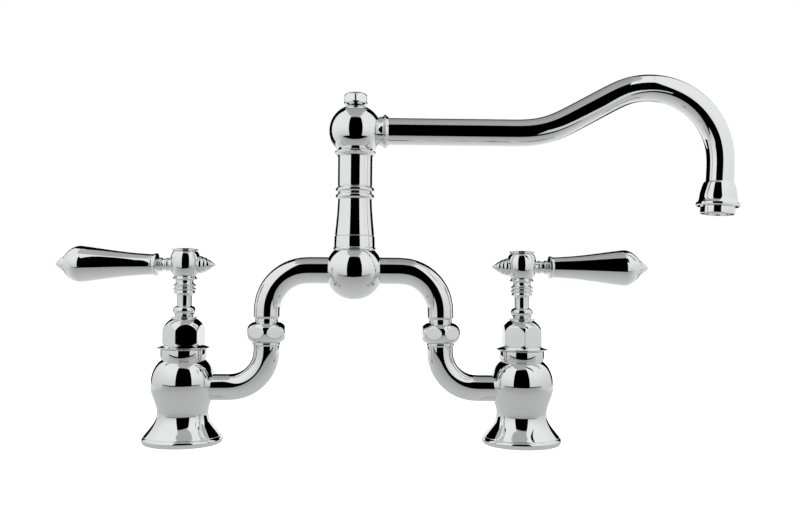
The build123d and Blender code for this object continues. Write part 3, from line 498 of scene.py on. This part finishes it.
def lever():
    out = Outline(0, 7.9).to((3.6, 7.9))
    for r, s, half in ((3.95, 10.5, 1.05), (4.15, 14.5, 1.2)):
        out.to((3.4, s - half)).bow((r, s), (3.4, s + half), steps=12)
    return (
        out.to((6.68, 16.6), (6.68, 17.8))
        .bow((6.2, 18.43), (6.1, 19.4), steps=10)
        .flow((6.6, 28.0), (0.02, 1), (0.075, 1))
        .flow((10.45, 59.3), (0.075, 1), (0.13, 1), steps=40)
        .flow((10.78, 62.4), (0.13, 1), (0, 1), steps=12)
        .flow((4.85, 71.55), (0, 1), (-1, 0.65), steps=34)
        .to((0, 71.55))
        .points(0.14)
    )


def lever_tip():
    return (
        Outline(0, 71.6).to((4.38, 71.6), (4.38, 72.2))
        .flow((0.88, 76.75), (-0.55, 1), (-0.754, 1), steps=16)
        .bow((0.49, 77.05), (0, 77.17), steps=6)
        .points(0.1)
    )


def finial():
    out = Outline(0, 7.2).to((4.88, 7.2), (4.88, 7.9))
    for end, swell in (((4.33, 10.9), 0.55), ((3.18, 13.3), 0.5), ((1.88, 15.6), 0.35)):
        out.swell(end, swell, steps=12)
    return out.to((0.2, 18.05), (0, 18.15)).points(0.1)


BONNET_FLATS, UNION_FLATS, CAP_FLATS = 22.0, 22.2, 13.6          # the hexagons' width across flats
BONNET_TURN = {"left": 19.0, "right": 30.0}                      # how far each hexagon is turned, in degrees
UNION_TURN = {"left": 33.0, "right": 36.0}
CAP_TURN = 30.0
BONNET_SPLIT, NUT_SPLIT = 0.3, 0.25                              # the milled outlines' longest steps, about
MILLED_SOFT, CAP_SOFT = 0.18, 0.16                               # how soft the hexagons' edges are


def tap(side, way):
    root, handle = "faucet_body", f"{side}_handle"
    x = way * TAP
    turned(
        f"{side}_body_turned", valve_body(), root, "chrome", f"{side}_valve_body",
        at=(x, 0, 0), steps=LARGE,
    )
    turned(
        f"{side}_flange_turned", flange_ring(), root, "chrome", f"{side}_flange_ring",
        at=(x, 0, low_of(f"{side}_flange_ring")), steps=WIDE,
    )
    turned(
        f"{side}_bonnet_milled", split_long(bonnet(), BONNET_SPLIT), root, "chrome", f"{side}_bonnet",
        at=(x, 0, low_of(f"{side}_bonnet")), steps=MILLED,
        radius=hexagon(BONNET_FLATS, radians(BONNET_TURN[side]), MILLED_SOFT),
    )
    turned(f"{side}_stem_turned", stem(), handle, "chrome", f"{side}_stem", at=(x, 0, low_of(f"{side}_stem")))
    turned(
        f"{side}_hub_turned", hub(), handle, "chrome", f"{side}_hub",
        at=(x, 0, low_of(f"{side}_hub")), steps=WIDE,
    )
    turned(
        f"{side}_cap_turned", handle_cap(), handle, "chrome", f"{side}_handle_cap",
        at=(x, 0, top_of(f"{side}_hub")),
    )
    for name, outline, node, out in (
        ("lever_turned", lever(), "lever", way),
        ("tip_turned", lever_tip(), "lever_tip", way),
        ("finial_turned", finial(), "finial", -way),
    ):
        turned(
            f"{side}_{name}", outline, handle, "chrome", f"{side}_{node}",
            at=(x, 0, LEVER_Z), axis=(out, 0, 0), steps=WIDE,
        )


for side, way in SIDES:
    tap(side, way)


# ------------------------------------------------------------------ the bridge
# The outlines of what stands on a riser, of the bridge ball and of the upper ball start at the deck's height.
ELBOW_Z, ELBOW_START, ARC_FOOT = 33.0, 13.7, 73.4    # the start is measured from the tap's axis
ELBOW_BEND, ARC_BEND, BRIDGE_EASE = 21.5, 24.0, 4.0  # the bends' radii, and how softly they set in
ELBOW_END, ARC_END = 4.6, 16.8                       # the straight ends, at the nut and in the ball
ELBOW_R, ELBOW_BORE = 7.8, 6.05
ARC_NECK_R, ARC_SHOULDER, ARC_BORE = 6.9, 1.6, 6.25


def arc_radius(s):
    """The arc's outer radius: thin at its foot, and round the shoulder to the full tube."""
    rise = 1 - min(s, ARC_SHOULDER) / ARC_SHOULDER
    return ARC_NECK_R + sqrt(max(0.0, 1 - rise ** 2))


def elbow_collar():
    return (
        Outline(7.2, 57.92).to((8.1, 57.92))
        .bow((8.4, 58.9), (8.1, 59.85), steps=10)
        .to((7.2, 59.85))
        .points(0.1)
    )


def union_nut():
    return (
        Outline(7.1, 60.0).to((8.5, 60.0))
        .bow((12.28, 65.9), (7.75, 72.08), steps=48)
        .to((7.1, 72.08))
        .points(0.16)
    )


def arc_neck():
    return Outline(6.3, 71.5).to((6.95, 71.5), (6.95, 73.7), (6.3, 73.7)).points(0.08)


def bridge_side(side, way):
    root = "faucet_body"
    inward = 0.0 if way < 0 else pi
    turn = pi / 2 if way < 0 else -pi / 2
    start = way * (TAP - ELBOW_START)
    bend = ELBOW_BEND * pi / 2
    elbow = walk(
        (start, ELBOW_Z), inward,
        [(abs(start) - RISER - ELBOW_BEND, 0.0), (bend, turn / bend), (ELBOW_END, 0.0)],
        BRIDGE_EASE,
    )
    tube(f"{side}_elbow_bent", elbow, ELBOW_R, ELBOW_BORE, root, "chrome", f"{side}_elbow")
    riser_at = (way * RISER, 0, 0)
    turned(f"{side}_elbow_collar", elbow_collar(), root, "chrome", at=riser_at)
    turned(
        f"{side}_union_milled", split_long(union_nut(), NUT_SPLIT), root, "chrome", f"{side}_union_nut",
        at=riser_at, steps=MILLED, radius=hexagon(UNION_FLATS, radians(UNION_TURN[side]), MILLED_SOFT),
    )
    bend = ARC_BEND * pi / 2
    arc = walk(
        (way * RISER, ARC_FOOT), pi / 2,
        [(BRIDGE_Z - ARC_BEND - ARC_FOOT, 0.0), (bend, -turn / bend), (ARC_END, 0.0)],
        BRIDGE_EASE,
    )
    tube(f"{side}_arc_bent", arc, arc_radius, ARC_BORE, root, "chrome", f"{side}_bridge_arc")
    turned(f"{side}_arc_neck", arc_neck(), root, "chrome", at=riser_at, steps=THIN)


for side, way in SIDES:
    bridge_side(side, way)


# ------------------------------------------------------------------ the middle
BALL_R = 17.38
BALL_POINT = 6.0     # the ball's arc is drawn through its point this far below its middle


def bridge_ball():
    point_r = sqrt(BALL_R**2 - BALL_POINT**2)
    return (
        Outline(0, BRIDGE_Z - BALL_R)
        .bow((point_r, BRIDGE_Z - BALL_POINT), (12.57, 115.25), steps=72)
        .to((9.0, 115.25))
        .points(0.05)
    )


def lower_collar():
    return (
        Outline(8.8, 0.02).to((12.4, 0.02))
        .bow((12.88, 1.0), (12.4, 1.95), steps=10)
        .to((12.1, 8.65), (8.8, 8.65))
        .points(0.12)
    )


def column():
    out = Outline(8.5, 0.02).to((11.6, 0.02), (11.88, 0.35))
    out.flow((10.2, 21.6), (-0.1, 1), (-0.03, 1)).to((10.2, 22.5))
    out.bow((11.67, 24.1), (10.2, 25.7)).to((10.2, 26.6))
    out.bow((11.67, 28.2), (10.2, 29.8)).to((10.2, 30.15), (10.38, 30.3), (10.38, 47.6))
    out.flow((12.48, 50.5), (0, 1), (1, 0.5), steps=14)
    return out.to((12.48, 51.1), (12.2, 51.38), (8.5, 51.38)).points(0.14)


turned("bridge_ball_turned", bridge_ball(), "faucet_body", "chrome", "bridge_ball", steps=LARGE)
turned(
    "collar_turned", lower_collar(), "faucet_body", "chrome", "lower_collar",
    at=(0, 0, low_of("lower_collar")), steps=WIDE,
)
turned("column_turned", column(), "faucet_body", "chrome", "column", at=(0, 0, low_of("column")), steps=WIDE)


# ------------------------------------------------------------------ the turning head and the spout
# The nozzle is drawn from the column's axis, and the bell and the aerator along the spout's last stretch.
RISE, TILT = radians(28.5), radians(3.5)             # the spout's climb, and how far its mouth leans back
SPOUT_START, RISE_AT = 15.6, 101.0                   # from the column's axis
RISE_BEND, HOOK_BEND, SPOUT_EASE = 57.7, 43.6, 7.0   # the bends' radii, and how softly they set in
RAMP, DROP = 35.2, 17.7                              # the straight stretches before and after the hook
SPOUT_R, SPOUT_BORE, SPOUT_STEPS = 8.08, 6.75, 112
BELL_GRIP = 6.0                                      # how far the bell reaches up the tube


def upper_ball():
    return (
        Outline(8.2, 175.95).to((9.95, 175.95))
        .bow((15.88, SPOUT_Z), (3.79, 203.6), steps=72)
        .to((3.0, 203.6))
        .points(0.08)
    )


def top_cap_foot():
    return (
        Outline(3.6, 1.0).to((4.3, 1.0), (6.9, 1.75), (7.15, 2.1), (7.15, 2.68), (3.6, 2.72))
        .points(0.12)
    )


def top_cap():
    return (
        Outline(4.0, 2.6).to((7.58, 2.6), (7.58, 5.6))
        .flow((0, 8.97), (0, 1), (-1, 0), steps=30)
        .points(0.1)
    )


def nozzle_collar():
    return (
        Outline(8.15, 13.6).to((8.25, 13.6), (8.9, 16.3))
        .flow((9.5, 17.2), (0.2, 1), (1, 0.25), steps=8)
        .bow((10.18, 17.9), (9.5, 18.6), steps=12)
        .to((8.8, 19.98), (8.15, 19.98))
        .points(0.1)
    )


def spout_line():
    return walk(
        (SPOUT_START, SPOUT_Z), 0.0,
        [
            (RISE_AT - SPOUT_START, 0.0),
            (RISE_BEND * RISE, 1 / RISE_BEND),
            (RAMP, 0.0),
            (HOOK_BEND * (RISE + pi / 2 + TILT), -1 / HOOK_BEND),
            (DROP, 0.0),
        ],
        SPOUT_EASE,
    )


def spout_end(down):
    """Where the bell starts, found along the spout's bends and straight stretches."""
    at = Vector((RISE_AT, 0, SPOUT_Z)) + Vector((sin(RISE), 0, 1 - cos(RISE))) * RISE_BEND
    at += Vector((cos(RISE), 0, sin(RISE))) * RAMP + Vector((sin(RISE), 0, -cos(RISE))) * HOOK_BEND
    at += Vector((cos(TILT), 0, -sin(TILT))) * HOOK_BEND
    return at + down * (DROP - BELL_GRIP)


def spout_bell():
    return (
        Outline(8.15, 0.05)
        .flow((9.4, 1.9), (1, 0.25), (0.3, 1), steps=10)
        .flow((11.08, 10.2), (0.3, 1), (0.02, 1), steps=16)
        .flow((12.88, 13.2), (0.1, 1), (1, 0.35), steps=12)
        .to((12.88, 14.6), (12.3, 15.15), (9.5, 15.15), (9.5, 7.2), (8.15, 6.1))
        .points(0.12)
    )


def aerator():
    return (
        Outline(9.3, 15.2).to((10.05, 15.2), (10.05, 19.15))
        .bow((9.9, 19.6), (9.45, 19.77), steps=6)
        .to((8.0, 19.77), (7.95, 18.4))
        .points(0.1)
    )


def turning_head():
    cap_at = (0, 0, top_of("upper_ball"))
    turned("upper_ball_turned", upper_ball(), "spout", "chrome", "upper_ball", steps=LARGE)
    turned("top_cap_foot", top_cap_foot(), "spout", "chrome", "top_cap", at=cap_at, steps=WIDE)
    turned(
        "top_cap_milled", split_long(top_cap(), NUT_SPLIT), "spout", "chrome",
        at=cap_at, steps=MILLED, radius=hexagon(CAP_FLATS, radians(CAP_TURN), CAP_SOFT),
    )
    turned(
        "nozzle_turned", nozzle_collar(), "spout", "chrome", "nozzle_collar",
        at=(0, 0, SPOUT_Z), axis=(1, 0, 0), steps=WIDE,
    )


def whole_spout():
    down = Vector((-sin(TILT), 0, -cos(TILT)))
    mouth = spout_end(down)
    tube(
        "spout_tube_bent", spout_line(), SPOUT_R, SPOUT_BORE, "spout", "chrome", "spout_tube",
        steps=SPOUT_STEPS,
    )
    turned("bell_turned", spout_bell(), "spout", "chrome", "spout_bell", at=mouth, axis=down, steps=WIDE)
    turned(
        "aerator_turned", aerator(), "spout", "chrome", "aerator_housing",
        at=mouth, axis=down, steps=ROUND,
    )


turning_head()
whole_spout()


# ------------------------------------------------------------------ under the deck
SHANK_FOOT, SHANK_HEAD, SHANK_BORE = -65.45, -0.3, 6.5
THREAD_CREST, THREAD_ROOT, THREAD_PITCH = 10.4, 9.5, 1.814
THREAD_ROWS = 14                     # rows of points in one turn of the thread
THREAD_FADE = 1.2                    # over which the thread runs out at both ends
TOOTH_PEAK, TOOTH_SLOPE = 1.5, 4.0   # the tooth's height before it is cut flat, and its flanks' slope


def thread_radius(z, turned_by):
    """The thread's radius at height z, part of a turn round the shank."""
    fade = min(1.0, (z - SHANK_FOOT) / THREAD_FADE, (SHANK_HEAD - z) / THREAD_FADE)
    t = (z / THREAD_PITCH - turned_by) % 1.0
    tooth = min(1.0, max(0.0, TOOTH_PEAK - abs(t - 0.5) * TOOTH_SLOPE))
    return THREAD_ROOT + (THREAD_CREST - THREAD_ROOT) * tooth * max(0.0, fade)


def threaded_shank(side, way):
    """The shank with its pipe thread and its bore."""
    rows = int((SHANK_HEAD - SHANK_FOOT) / THREAD_PITCH * THREAD_ROWS)
    rings = []
    for k in range(rows + 1):
        z = SHANK_FOOT + (SHANK_HEAD - SHANK_FOOT) * k / rows
        rings.append((z, [thread_radius(z, i / THIN) for i in range(THIN)]))
    rings += [(z, [SHANK_BORE] * THIN) for z in (SHANK_HEAD, SHANK_FOOT)]
    verts = []
    for z, radii in rings:
        for i, r in enumerate(radii):
            a = 2 * pi * i / THIN
            verts.append((way * TAP + r * cos(a), r * sin(a), z))
    faces = []
    for k in range(len(rings)):
        low, high = k * THIN, (k + 1) % len(rings) * THIN
        for i in range(THIN):
            j = (i + 1) % THIN
            faces.append((low + i, low + j, high + j, high + i))
    piece(f"{side}_shank_threaded", verts, faces, "faucet_body", "brass", f"{side}_shank")


for side, way in SIDES:
    threaded_shank(side, way)


# ------------------------------------------------------------------ studio
# Cards that only show in reflections stand round the faucet: white walls with an open gap in front, a grey
# table with a raised front edge, a grey roof, and a black flag before the spout. The gap is what makes the
# black stripes down each turned piece.
SIDE, TOP, LOW, BACK = 420.0, 900.0, -48.0, 580.0        # the walls
LEFT_EDGE, RIGHT_EDGE = (-206, -397), (238, -378)        # both sides of the gap, as (x, y)
CORNER, WALL_END = -290.0, 270.0                         # where the side walls start and end, in y
BACK_EDGE, BACK_LOW, BACK_TOP = 330.0, -60.0, 165.0      # the backdrop
TABLE_Z, TABLE_FRONT = -0.6, -110.0
LIP_Y, LIP_Z, LIP_TOP = -157.0, 28.0, 35.0               # the table's raised front edge
ROOF_FRONT, ROOF_BACK, ROOF_SIDE = -540.0, 560.0, 310.0
CEILING = TOP + 5
FLAG = [(135, -69, 174), (221, -105, 162), (221, -105, 285), (135, -69, 285)]

# Levels of light along a card's main direction, as (place, level).
WALL_LEVELS = [(LOW, 0.54), (60, 0.68), (200, 0.81), (320, 0.86)]
TABLE_LEVELS = [(LIP_Y, 0.36), (-20, 0.50), (80, 0.60), (320, 0.76)]
ROOF_LEVELS = [(ROOF_FRONT, 0.28), (-480, 0.42), (0, 0.38), (ROOF_BACK, 0.25)]
BACK_LEVEL = 0.90
SKY_LEVEL, FILL_LEVEL = 1.0, 0.55


def glow(name, level):
    """An even glow."""
    mat, ns, ln = tree_of(name)
    out = add(ns, "ShaderNodeOutputMaterial")
    emit = add(ns, "ShaderNodeEmission", Color=(1, 1, 1, 1), Strength=level)
    ln.new(emit.outputs[0], out.inputs[0])
    return mat


def graded_glow(name, axis, levels, side_from=0.0, side_gain=0.0):
    """A glow graded along an axis, which also gains side_gain from side_from out to both sides."""
    mat, ns, ln = tree_of(name)
    out = add(ns, "ShaderNodeOutputMaterial")
    emit = add(ns, "ShaderNodeEmission", Color=(1, 1, 1, 1))
    place = add(ns, "ShaderNodeTexCoord")
    split = add(ns, "ShaderNodeSeparateXYZ")
    low, high = levels[0][0], levels[-1][0]
    along = map_range(ns, low * MM, high * MM)
    ramp = add(ns, "ShaderNodeValToRGB")
    marks = ramp.color_ramp.elements
    while len(marks) < len(levels):
        marks.new(0.5)
    for mark, (at, level) in zip(marks, levels):
        mark.position = (at - low) / (high - low)
        mark.color = (level, level, level, 1)
    away = add(ns, "ShaderNodeMath", operation="ABSOLUTE")
    gain = map_range(ns, side_from * MM, SIDE * MM, 0.0, side_gain)
    total = add(ns, "ShaderNodeMath", operation="ADD")
    ln.new(place.outputs["Object"], split.inputs[0])
    ln.new(split.outputs[axis], along.inputs["Value"])
    ln.new(along.outputs["Result"], ramp.inputs["Fac"])
    ln.new(split.outputs["X"], away.inputs[0])
    ln.new(away.outputs[0], gain.inputs["Value"])
    ln.new(ramp.outputs["Color"], total.inputs[0])
    ln.new(gain.outputs["Result"], total.inputs[1])
    ln.new(total.outputs[0], emit.inputs["Strength"])
    ln.new(emit.outputs[0], out.inputs[0])
    return mat


def card(name, corners, mat):
    """A flat card of the studio that only shows in reflections."""
    mesh = bpy.data.meshes.new(name)
    mesh.from_pydata([tuple(c * MM for c in p) for p in corners], [], [tuple(range(len(corners)))])
    obj = bpy.data.objects.new(name, mesh)
    mesh.materials.append(mat)
    scene.collection.objects.link(obj)
    obj.visible_camera = False
    obj.visible_diffuse = False
    obj.visible_shadow = False
    obj.visible_transmission = False


def wall(name, a, b, low, high, mat):
    """An upright card from a to b, both (x, y)."""
    card(name, [(*a, low), (*b, low), (*b, high), (*a, high)], mat)


def sheet(name, a, b, mat, half=SIDE):
    """A card across the scene from a to b, both (y, z)."""
    card(name, [(w * half, *p) for w, p in ((-1, a), (1, a), (1, b), (-1, b))], mat)


def white_walls(white):
    wall("front_left", LEFT_EDGE, (-SIDE, CORNER), LOW, TOP, white)
    wall("front_right", RIGHT_EDGE, (SIDE, CORNER), LOW, TOP, white)
    wall("wall_left", (-SIDE, CORNER), (-SIDE, WALL_END), LOW, TOP, white)
    wall("wall_right", (SIDE, CORNER), (SIDE, WALL_END), LOW, TOP, white)
    back = (-BACK_EDGE, BACK), (BACK_EDGE, BACK)
    wall("backdrop", *back, BACK_LOW, BACK_TOP, glow("studio_back", BACK_LEVEL))


def grey_table(black):
    grey = graded_glow("studio_table", "Y", TABLE_LEVELS, side_from=200.0, side_gain=0.16)
    sheet("table", (TABLE_FRONT, TABLE_Z), (BACK, TABLE_Z), grey)
    sheet("table_lip", (LIP_Y, LIP_Z), (TABLE_FRONT, TABLE_Z), grey)
    wall("table_edge", (-SIDE, LIP_Y), (SIDE, LIP_Y), LIP_Z, LIP_TOP, black)


def overhead(white):
    """A grey roof with the white ceiling showing round it."""
    grey = graded_glow("studio_roof", "Y", ROOF_LEVELS, side_from=220.0, side_gain=0.25)
    sheet("ceiling", (ROOF_FRONT, CEILING), (WALL_END, CEILING), white)
    sheet("roof", (ROOF_FRONT, TOP), (ROOF_BACK, TOP), grey, ROOF_SIDE)


def studio():
    white = graded_glow("studio_walls", "Z", WALL_LEVELS)
    black = glow("studio_edge", 0.0)
    white_walls(white)
    grey_table(black)
    overhead(white)
    card("flag", FLAG, black)


def sky():
    """White to the camera, black to reflections, and a soft white fill to everything else."""
    world = bpy.data.worlds.new("studio")
    scene.world = world
    world.use_nodes = True
    ns, ln = world.node_tree.nodes, world.node_tree.links
    ns.clear()
    out = add(ns, "ShaderNodeOutputWorld")
    path = add(ns, "ShaderNodeLightPath")
    white = add(ns, "ShaderNodeBackground", Color=(1, 1, 1, 1), Strength=SKY_LEVEL)
    dark = add(ns, "ShaderNodeBackground", Color=(0, 0, 0, 1), Strength=0.0)
    fill = add(ns, "ShaderNodeBackground", Color=(1, 1, 1, 1), Strength=FILL_LEVEL)
    seen = add(ns, "ShaderNodeMixShader")
    mirrored = add(ns, "ShaderNodeMixShader")
    ln.new(path.outputs["Is Glossy Ray"], mirrored.inputs[0])
    ln.new(fill.outputs[0], mirrored.inputs[1])
    ln.new(dark.outputs[0], mirrored.inputs[2])
    ln.new(path.outputs["Is Camera Ray"], seen.inputs[0])
    ln.new(mirrored.outputs[0], seen.inputs[1])
    ln.new(white.outputs[0], seen.inputs[2])
    ln.new(seen.outputs[0], out.inputs[0])


LAMP_SIZE = 0.7
# name, place and aim in metres, watts
LAMPS = (
    ("lamp_left", (-0.75, -0.7, 0.95), (0, 0, 0.05), 7.0),
    ("lamp_right", (0.8, -0.6, 0.9), (0, 0, 0.05), 6.0),
    ("lamp_under", (0.1, -0.5, -0.8), (0, 0, -0.05), 5.0),
)


def lamp(name, at, towards, watts):
    """A soft lamp that reflections and the camera don't see."""
    data = bpy.data.lights.new(name, "AREA")
    data.size = LAMP_SIZE
    data.energy = watts
    obj = bpy.data.objects.new(name, data)
    scene.collection.objects.link(obj)
    obj.location = at
    obj.rotation_euler = (Vector(towards) - Vector(at)).to_track_quat("-Z", "Y").to_euler()
    obj.visible_glossy = False
    obj.visible_camera = False


studio()
sky()
for row in LAMPS:
    lamp(*row)

# The floor is the deck that the bases stand on. It lies just under them and can't be seen from below.
FLOOR_HALF, FLOOR_Z = 6.0, -0.0002       # in metres
FLOOR_DARK, FLOOR_LIGHT = 0.93, 0.97
FLOOR_SHINE = 0.72


def pale_deck():
    """A pale, faintly clouded floor that shines to the camera only and is clear from below."""
    mat, ns, ln = tree_of("pale_deck")
    out = add(ns, "ShaderNodeOutputMaterial")
    cloud = add(ns, "ShaderNodeTexNoise", Scale=3.0, Detail=4.0)
    tint = add(ns, "ShaderNodeValToRGB")
    for mark, tone in zip(tint.color_ramp.elements, (FLOOR_DARK, FLOOR_LIGHT)):
        mark.color = (tone, tone, tone, 1)
    diffuse = add(ns, "ShaderNodeBsdfDiffuse")
    shine = add(ns, "ShaderNodeEmission", Color=(1, 1, 1, 1), Strength=FLOOR_SHINE)
    lit = add(ns, "ShaderNodeAddShader")
    clear = add(ns, "ShaderNodeBsdfTransparent")
    shown = add(ns, "ShaderNodeMixShader")
    under = add(ns, "ShaderNodeMixShader")
    path = add(ns, "ShaderNodeLightPath")
    facing = add(ns, "ShaderNodeNewGeometry")
    ln.new(cloud.outputs["Fac"], tint.inputs["Fac"])
    ln.new(tint.outputs["Color"], diffuse.inputs["Color"])
    ln.new(diffuse.outputs[0], lit.inputs[0])
    ln.new(shine.outputs[0], lit.inputs[1])
    ln.new(path.outputs["Is Camera Ray"], shown.inputs[0])
    ln.new(diffuse.outputs[0], shown.inputs[1])
    ln.new(lit.outputs[0], shown.inputs[2])
    ln.new(facing.outputs["Backfacing"], under.inputs[0])
    ln.new(shown.outputs[0], under.inputs[1])
    ln.new(clear.outputs[0], under.inputs[2])
    ln.new(under.outputs[0], out.inputs[0])
    return mat


def deck_floor():
    mesh = bpy.data.meshes.new("deck_floor")
    corners = [(x * FLOOR_HALF, y * FLOOR_HALF, FLOOR_Z) for x, y in ((-1, -1), (1, -1), (1, 1), (-1, 1))]
    mesh.from_pydata(corners, [], [(0, 1, 2, 3)])
    mesh.materials.append(pale_deck())
    obj = bpy.data.objects.new("deck_floor", mesh)
    scene.collection.objects.link(obj)
    obj.visible_glossy = False


deck_floor()

# ------------------------------------------------------------------ camera
YAW, PITCH, ROLL = radians(1.39), radians(2.14), radians(0.41)
EYE_AT = (15.4, -502.6, 93.6)
FOCAL_PIXELS, IMAGE_WIDTH, SENSOR = 830.5, 800.0, 36.0


def place_camera():
    """The camera that was fitted to the photograph."""
    tilt = Matrix.Rotation(ROLL, 3, "Z") @ Matrix.Rotation(-PITCH, 3, "X")
    level = Matrix(((1, 0, 0), (0, 0, -1), (0, 1, 0)))
    turn = Matrix(((cos(YAW), -sin(YAW), 0), (sin(YAW), cos(YAW), 0), (0, 0, 1)))
    right, down, ahead = (Vector(row) for row in tilt @ level @ turn)
    lens = bpy.data.cameras.new("camera")
    lens.sensor_width = SENSOR
    lens.lens = FOCAL_PIXELS * SENSOR / IMAGE_WIDTH
    lens.clip_start = 0.01
    eye = bpy.data.objects.new("camera", lens)
    scene.collection.objects.link(eye)
    basis = Matrix((right, -down, -ahead)).transposed().to_4x4()
    eye.matrix_world = Matrix.Translation(Vector(EYE_AT) * MM) @ basis
    scene.camera = eye


place_camera()
scene.view_settings.view_transform = "Standard"
